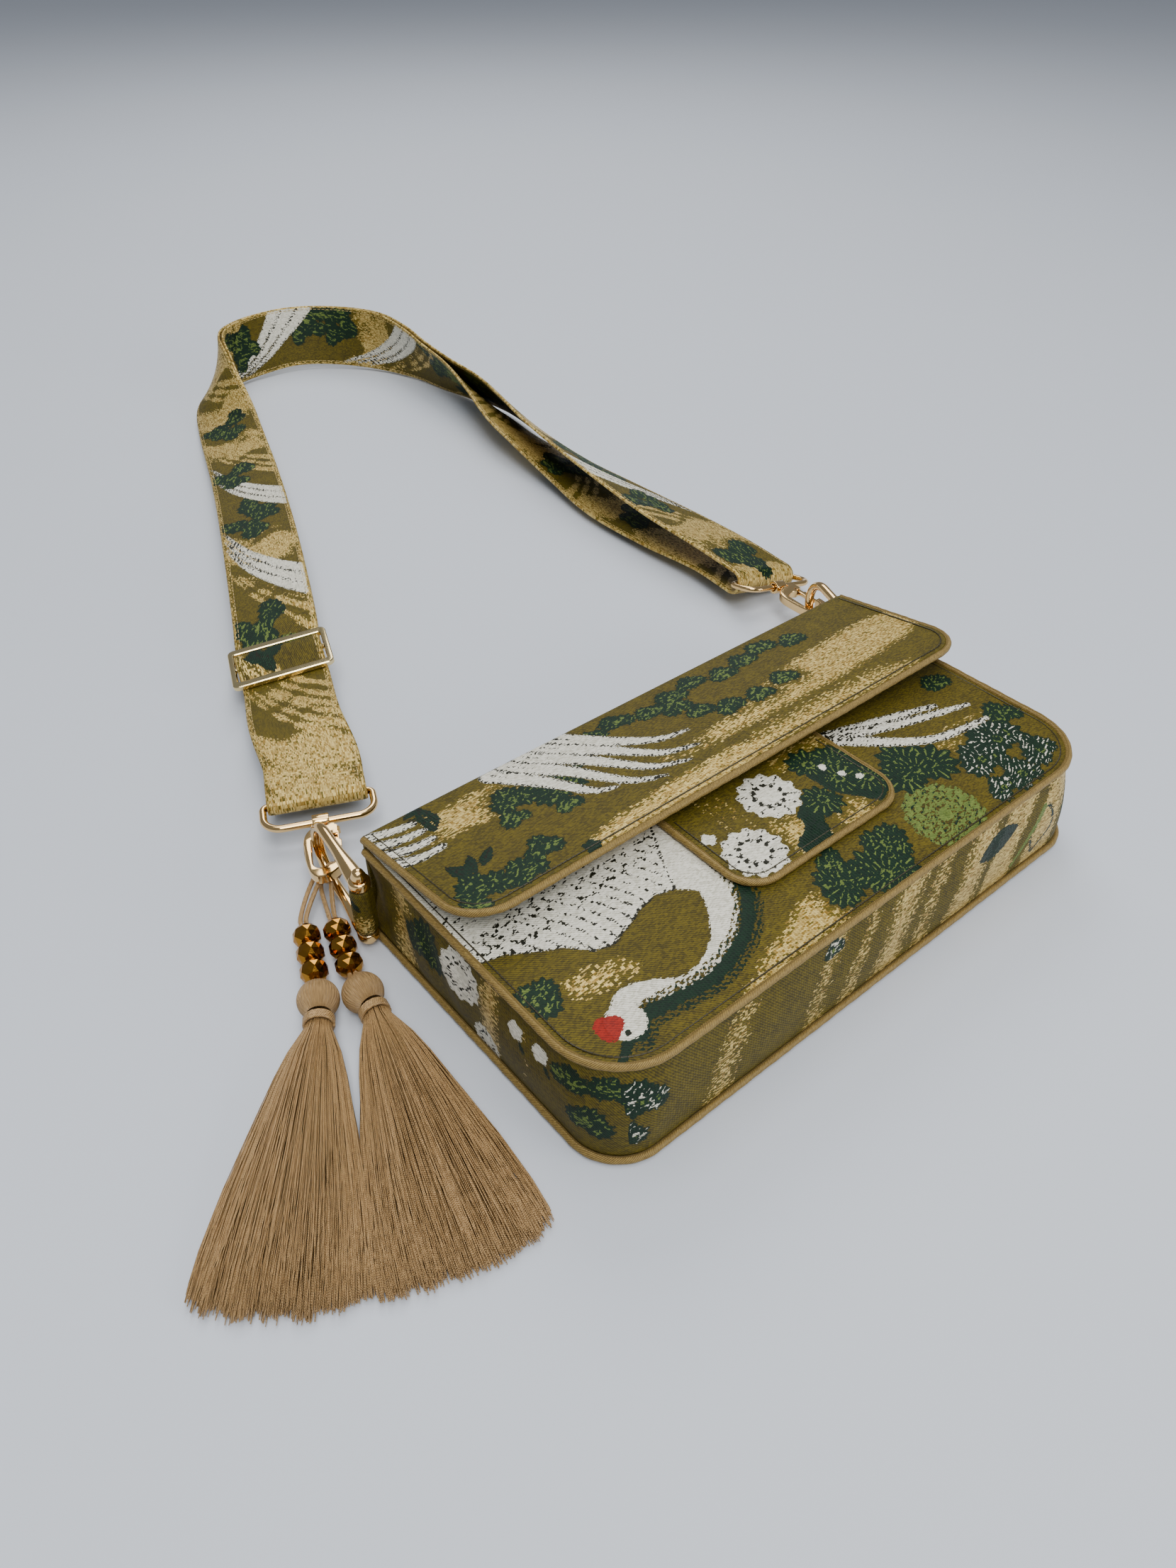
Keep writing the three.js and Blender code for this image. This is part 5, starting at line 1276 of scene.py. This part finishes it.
def buildTassel(name, s):
    seeds = np.random.default_rng(40 + ord(name))
    run = heading(s["bead"])
    first = sides["left"]["pin"] + np.array([-s["out"], s["up"], tasselSize["bead"] / 2 + 0.35])
    s["beads"] = [first + run * i * (tasselSize["beadLength"] + 0.35) for i in range(3)]
    headR, neckR = tasselSize["head"] / 2, tasselSize["neck"] / 2
    s["headAt"] = s["beads"][2] + heading(s["stem"]) * (tasselSize["beadLength"] / 2 + s["gap"] + headR)
    s["headAt"][2] = headR + 0.35
    path = strandPath(s)
    cord = tube(f"tasselCord{name.title()}", path, tasselSize["cord"] / 2 * 0.96, 16, "silk", ridge=0.08,
                twist=2.6)
    finishPiece(cord, "silk", "root", f"tassel_cord_{name}")
    beads = [buildBead(f"bead{name.title()}{i + 1}", f"bead_{name}{i + 1}", s["beads"][i], s["bead"])
             for i in range(3)]

    headRun, skirtRun = heading(s["head"]), heading(s["skirt"])
    meanRun = unit(headRun * 0.5 + skirtRun * 0.5)
    neck = s["headAt"] + headRun * headR * 0.98
    neck[2] = s["headAt"][2] - 0.8
    start = neck + meanRun * (tasselSize["wrap"] + 0.7)
    points, faces, flats = [], [], []

    def take(part, flat):
        base = len(points)
        points.extend(part[0])
        faces.extend([[i + base for i in f] for f in part[1]])
        flats.extend(flat)

    # Head: threads laid over a ball, from its top to the neck
    cross = np.cross(upward, headRun)
    count = 160
    angles = np.linspace(-86, 58, 30)
    rings, flat = [], []
    for a in angles:
        c, z = math.cos(math.radians(a)), math.sin(math.radians(a))
        r = max(headR * c, 0.4)
        if a > 40:
            r = headR * 0.77 + (neckR - headR * 0.77) * (a - 40) / 18
        for k in range(count):
            spin = 2 * math.pi * k / count
            rr = r * (0.95 + 0.07 * abs(math.cos(spin * 20 + 0.02 * a)) ** 0.7)
            rings.append(s["headAt"] + headRun * headR * z
                         + (cross * math.cos(spin) + upward * math.sin(spin)) * rr)
            flat.append((spin * 30, a * 0.04, 0))
    take((rings, outwards(rings, gridFaces(len(angles), count, wrap=True).tolist())), flat)

    # Skirt: strands in locks
    side = np.cross(upward, skirtRun)
    across = np.concatenate([[-0.04], np.linspace(0.015, 1, 10)])
    lockAt = np.linspace(-0.93, 0.93, tasselSize["locks"]) + seeds.uniform(-0.05, 0.05, tasselSize["locks"])
    lockLong = seeds.uniform(0.965, 1.0, tasselSize["locks"])
    halfAt = np.interp(across, skirtTable[:, 0], skirtTable[:, 1]) * s["spread"] * tasselSize["spread"] / 2
    deepAt = np.interp(across, skirtTable[:, 0], skirtTable[:, 2]) * tasselSize["head"]
    rows = len(across)
    for i in range(tasselSize["strands"]):
        lock = int(seeds.integers(tasselSize["locks"]))
        base = np.clip(lockAt[lock] + seeds.normal(0, 0.085), -0.98, 0.98)
        high = seeds.uniform(-0.96, 0.96) * math.sqrt(max(1 - base ** 2 * 0.8, 0.05))
        gather = lockAt[lock] + (base - lockAt[lock]) * (1 - 0.2 * across ** 2)
        waves = seeds.normal(0, 0.012) * np.sin(across * seeds.uniform(3, 9) + seeds.uniform(0, 6))
        stray = seeds.normal(0, 0.16) if i % 30 == 0 else 0.0
        share = np.clip(gather + (waves * 3 + stray) * across, -1, 1)
        far = tasselSize["length"] * lockLong[lock] * seeds.uniform(0.94, 1.0)
        line = (start[None] + skirtRun[None] * (across * far * (1 - 0.045 * share ** 2))[:, None]
                + side[None] * (share * halfAt)[:, None])
        mid = start[2] + (deepAt / 2 + 0.35 - start[2]) * np.minimum(across / 0.42, 1)
        line[:, 2] = mid + high * deepAt / 2 * np.sqrt(np.maximum(1 - share ** 2 * 0.75, 0.05))
        radius = seeds.uniform(0.17, 0.31)
        line[:, 2] = np.maximum(line[:, 2], radius + 0.35)
        p, f, fl = tubeParts(line, np.linspace(radius, radius * 0.8, rows), 3)
        take((p, f), fl + seeds.uniform(0, 30))
    obj = makeMesh(f"tassel{name.title()}", np.array(points), faces, "silk", data={"flat": np.array(flats)})
    finishPiece(obj, "silk", "root", f"tassel_{name}")

    # Braid round the neck, wound four times
    side = np.cross(upward, meanRun)
    coils = []
    for k in np.linspace(0, 1, 200):
        spin = 2 * math.pi * 4 * k
        at = neck + meanRun * (0.6 + k * (tasselSize["wrap"] - 0.5))
        coils.append(at + (side * math.cos(spin) + upward * math.sin(spin)) * (neckR + 0.75))
    wrap = tube(f"neckWrap{name.title()}", coils, 0.62, 10, "silk", meanRun, ridge=0.1, twist=3.0)
    finishPiece(wrap, "silk", "root", f"neck_wrap_{name}")
    [c * mm for c in path[0]]
    (path * mm).tolist()


for tasselName, tassel in tassels.items():
    buildTassel(tasselName, tassel)


# Stitches, by Geometry Nodes

def stitchGroup():
    group = bpy.data.node_groups.new("stitches", "GeometryNodeTree")
    for name, kind, value in (("Geometry", "NodeSocketGeometry", None), ("Pitch", "NodeSocketFloat", 0.0026),
                              ("Length", "NodeSocketFloat", 0.0017), ("Radius", "NodeSocketFloat", 0.0003),
                              ("Material", "NodeSocketMaterial", None)):
        socket = group.interface.new_socket(name, in_out="INPUT", socket_type=kind)
        if value is not None:
            socket.default_value = value
    group.interface.new_socket("Geometry", in_out="OUTPUT", socket_type="NodeSocketGeometry")
    nodes, link = group.nodes, group.links.new
    source, sink = nodes.new("NodeGroupInput"), nodes.new("NodeGroupOutput")
    points = nodes.new("GeometryNodeCurveToPoints")
    points.mode = "LENGTH"
    link(source.outputs["Geometry"], points.inputs["Curve"])
    link(source.outputs["Pitch"], points.inputs["Length"])
    thread = nodes.new("GeometryNodeMeshCylinder")
    thread.inputs["Vertices"].default_value = 5
    link(source.outputs["Radius"], thread.inputs["Radius"])
    link(source.outputs["Length"], thread.inputs["Depth"])
    place = nodes.new("GeometryNodeInstanceOnPoints")
    link(points.outputs["Points"], place.inputs["Points"])
    link(thread.outputs["Mesh"], place.inputs["Instance"])
    aim = nodes.new("FunctionNodeAlignRotationToVector")
    aim.axis = "Z"
    link(points.outputs["Tangent"], aim.inputs["Vector"])
    link(aim.outputs["Rotation"], place.inputs["Rotation"])
    real = nodes.new("GeometryNodeRealizeInstances")
    link(place.outputs["Instances"], real.inputs["Geometry"])
    paintNode = nodes.new("GeometryNodeSetMaterial")
    link(real.outputs["Geometry"], paintNode.inputs["Geometry"])
    link(source.outputs["Material"], paintNode.inputs["Material"])
    link(paintNode.outputs["Geometry"], sink.inputs["Geometry"])
    return group


stitches = stitchGroup()


def sewn(name, lines, pitch, length, radius, colour="stitch"):
    curve = bpy.data.curves.new(name + "Line", "CURVE")
    curve.dimensions = "3D"
    for line in lines:
        spline = curve.splines.new("POLY")
        spline.points.add(len(line) - 1)
        spline.points.foreach_set("co", np.column_stack([np.asarray(line) * mm, np.ones(len(line))]).ravel())
    source = addObject(name + "Line", curve)
    modifier = source.modifiers.new("stitches", "NODES")
    modifier.node_group = stitches
    values = {"Pitch": pitch * mm, "Length": length * mm, "Radius": radius * mm,
              "Material": materials[colour]}
    for item in stitches.interface.items_tree:
        if item.in_out == "INPUT" and item.name in values:
            modifier[item.identifier] = values[item.name]
    bpy.context.view_layer.update()
    evaluated = source.evaluated_get(bpy.context.evaluated_depsgraph_get())
    mesh = bpy.data.meshes.new_from_object(evaluated)
    bpy.data.objects.remove(source)
    if len(mesh.materials) == 0:
        mesh.materials.append(materials[colour])
    finishPiece(addObject(name, mesh), "gold_cloth", "root")


def seamLine(sizes, lift, inset):
    width, bottom, top, radius, shift = sizes
    line = resample(outlineU(width - 2 * inset, bottom + inset, top, radius - inset, shift), 300)
    return np.column_stack([line, lift(line[:, 0], line[:, 1])])


# Stitch lines just inside the pipings: real stitches, coloured near-black as painted shadow along the seam groove
seams = [seamLine((flapSize["width"], 0.8, 64, 16.4, 2.8), lambda x, y: flapHeight(x, y) + 1.2, 3.1),
         seamLine((tabSize["width"], -39.5, 0, 12, 1), lambda x, y: frontHeight(x, y) + 2.95, 3.0),
         seamLine((bag["width"], -67, 64, 26, 0), lambda x, y: frontHeight(x, y) + 0.1, 3.1)]
sewn("seamShadowStitches", seams, 2.0, 1.8, 0.3, "seamShadow")
edges = []
for face in (1, -1):
    for across in (-17.6, 17.6):
        edges.append(strapLine + strapW * across + strapN * face * 0.84)
    for at in (strapSize["tail"] + 22, strapSize["tail"] + 26):
        k = int(np.searchsorted(strapAlong, at))
        across = np.linspace(-17, 17, 30)[:, None]
        edges.append(strapLine[k] + strapW[k] * across + strapN[k] * face * 0.9)
sewn("strapStitches", edges, 3.1, 2.1, 0.2)
print("stitches")


# Floor, light and world

def studio():
    points = [(x * 6000, y * 6000, -0.4) for x, y in ((-1, -1), (1, -1), (1, 1), (-1, 1))]
    makeMesh("floor", points, [[0, 1, 2, 3]], "floor", False)
    lights = {"key": ((-0.5, -0.7, 1.4), 0.7, 17.0), "rim": ((0.7, 1.2, 1.3), 0.9, 12.0),
              "top": ((0, 0.2, 1.9), 1.2, 16.0), "front": ((0.7, -1.3, 0.5), 0.8, 9.0)}
    for name, (at, wide, power) in lights.items():
        data = bpy.data.lights.new(name, "AREA")
        data.shape = "SQUARE"
        data.size = wide
        data.energy = power
        obj = addObject(name, data)
        obj.location = at
        aim = Vector((0.0, 0.12, 0.0)) - Vector(at)
        obj.rotation_euler = aim.to_track_quat("-Z", "Y").to_euler()
    world = bpy.context.scene.world or bpy.data.worlds.new("studio")
    bpy.context.scene.world = world
    world.use_nodes = True
    background = world.node_tree.nodes["Background"].inputs
    background[0].default_value = (0.78, 0.83, 0.92, 1)
    background[1].default_value = 0.3


studio()
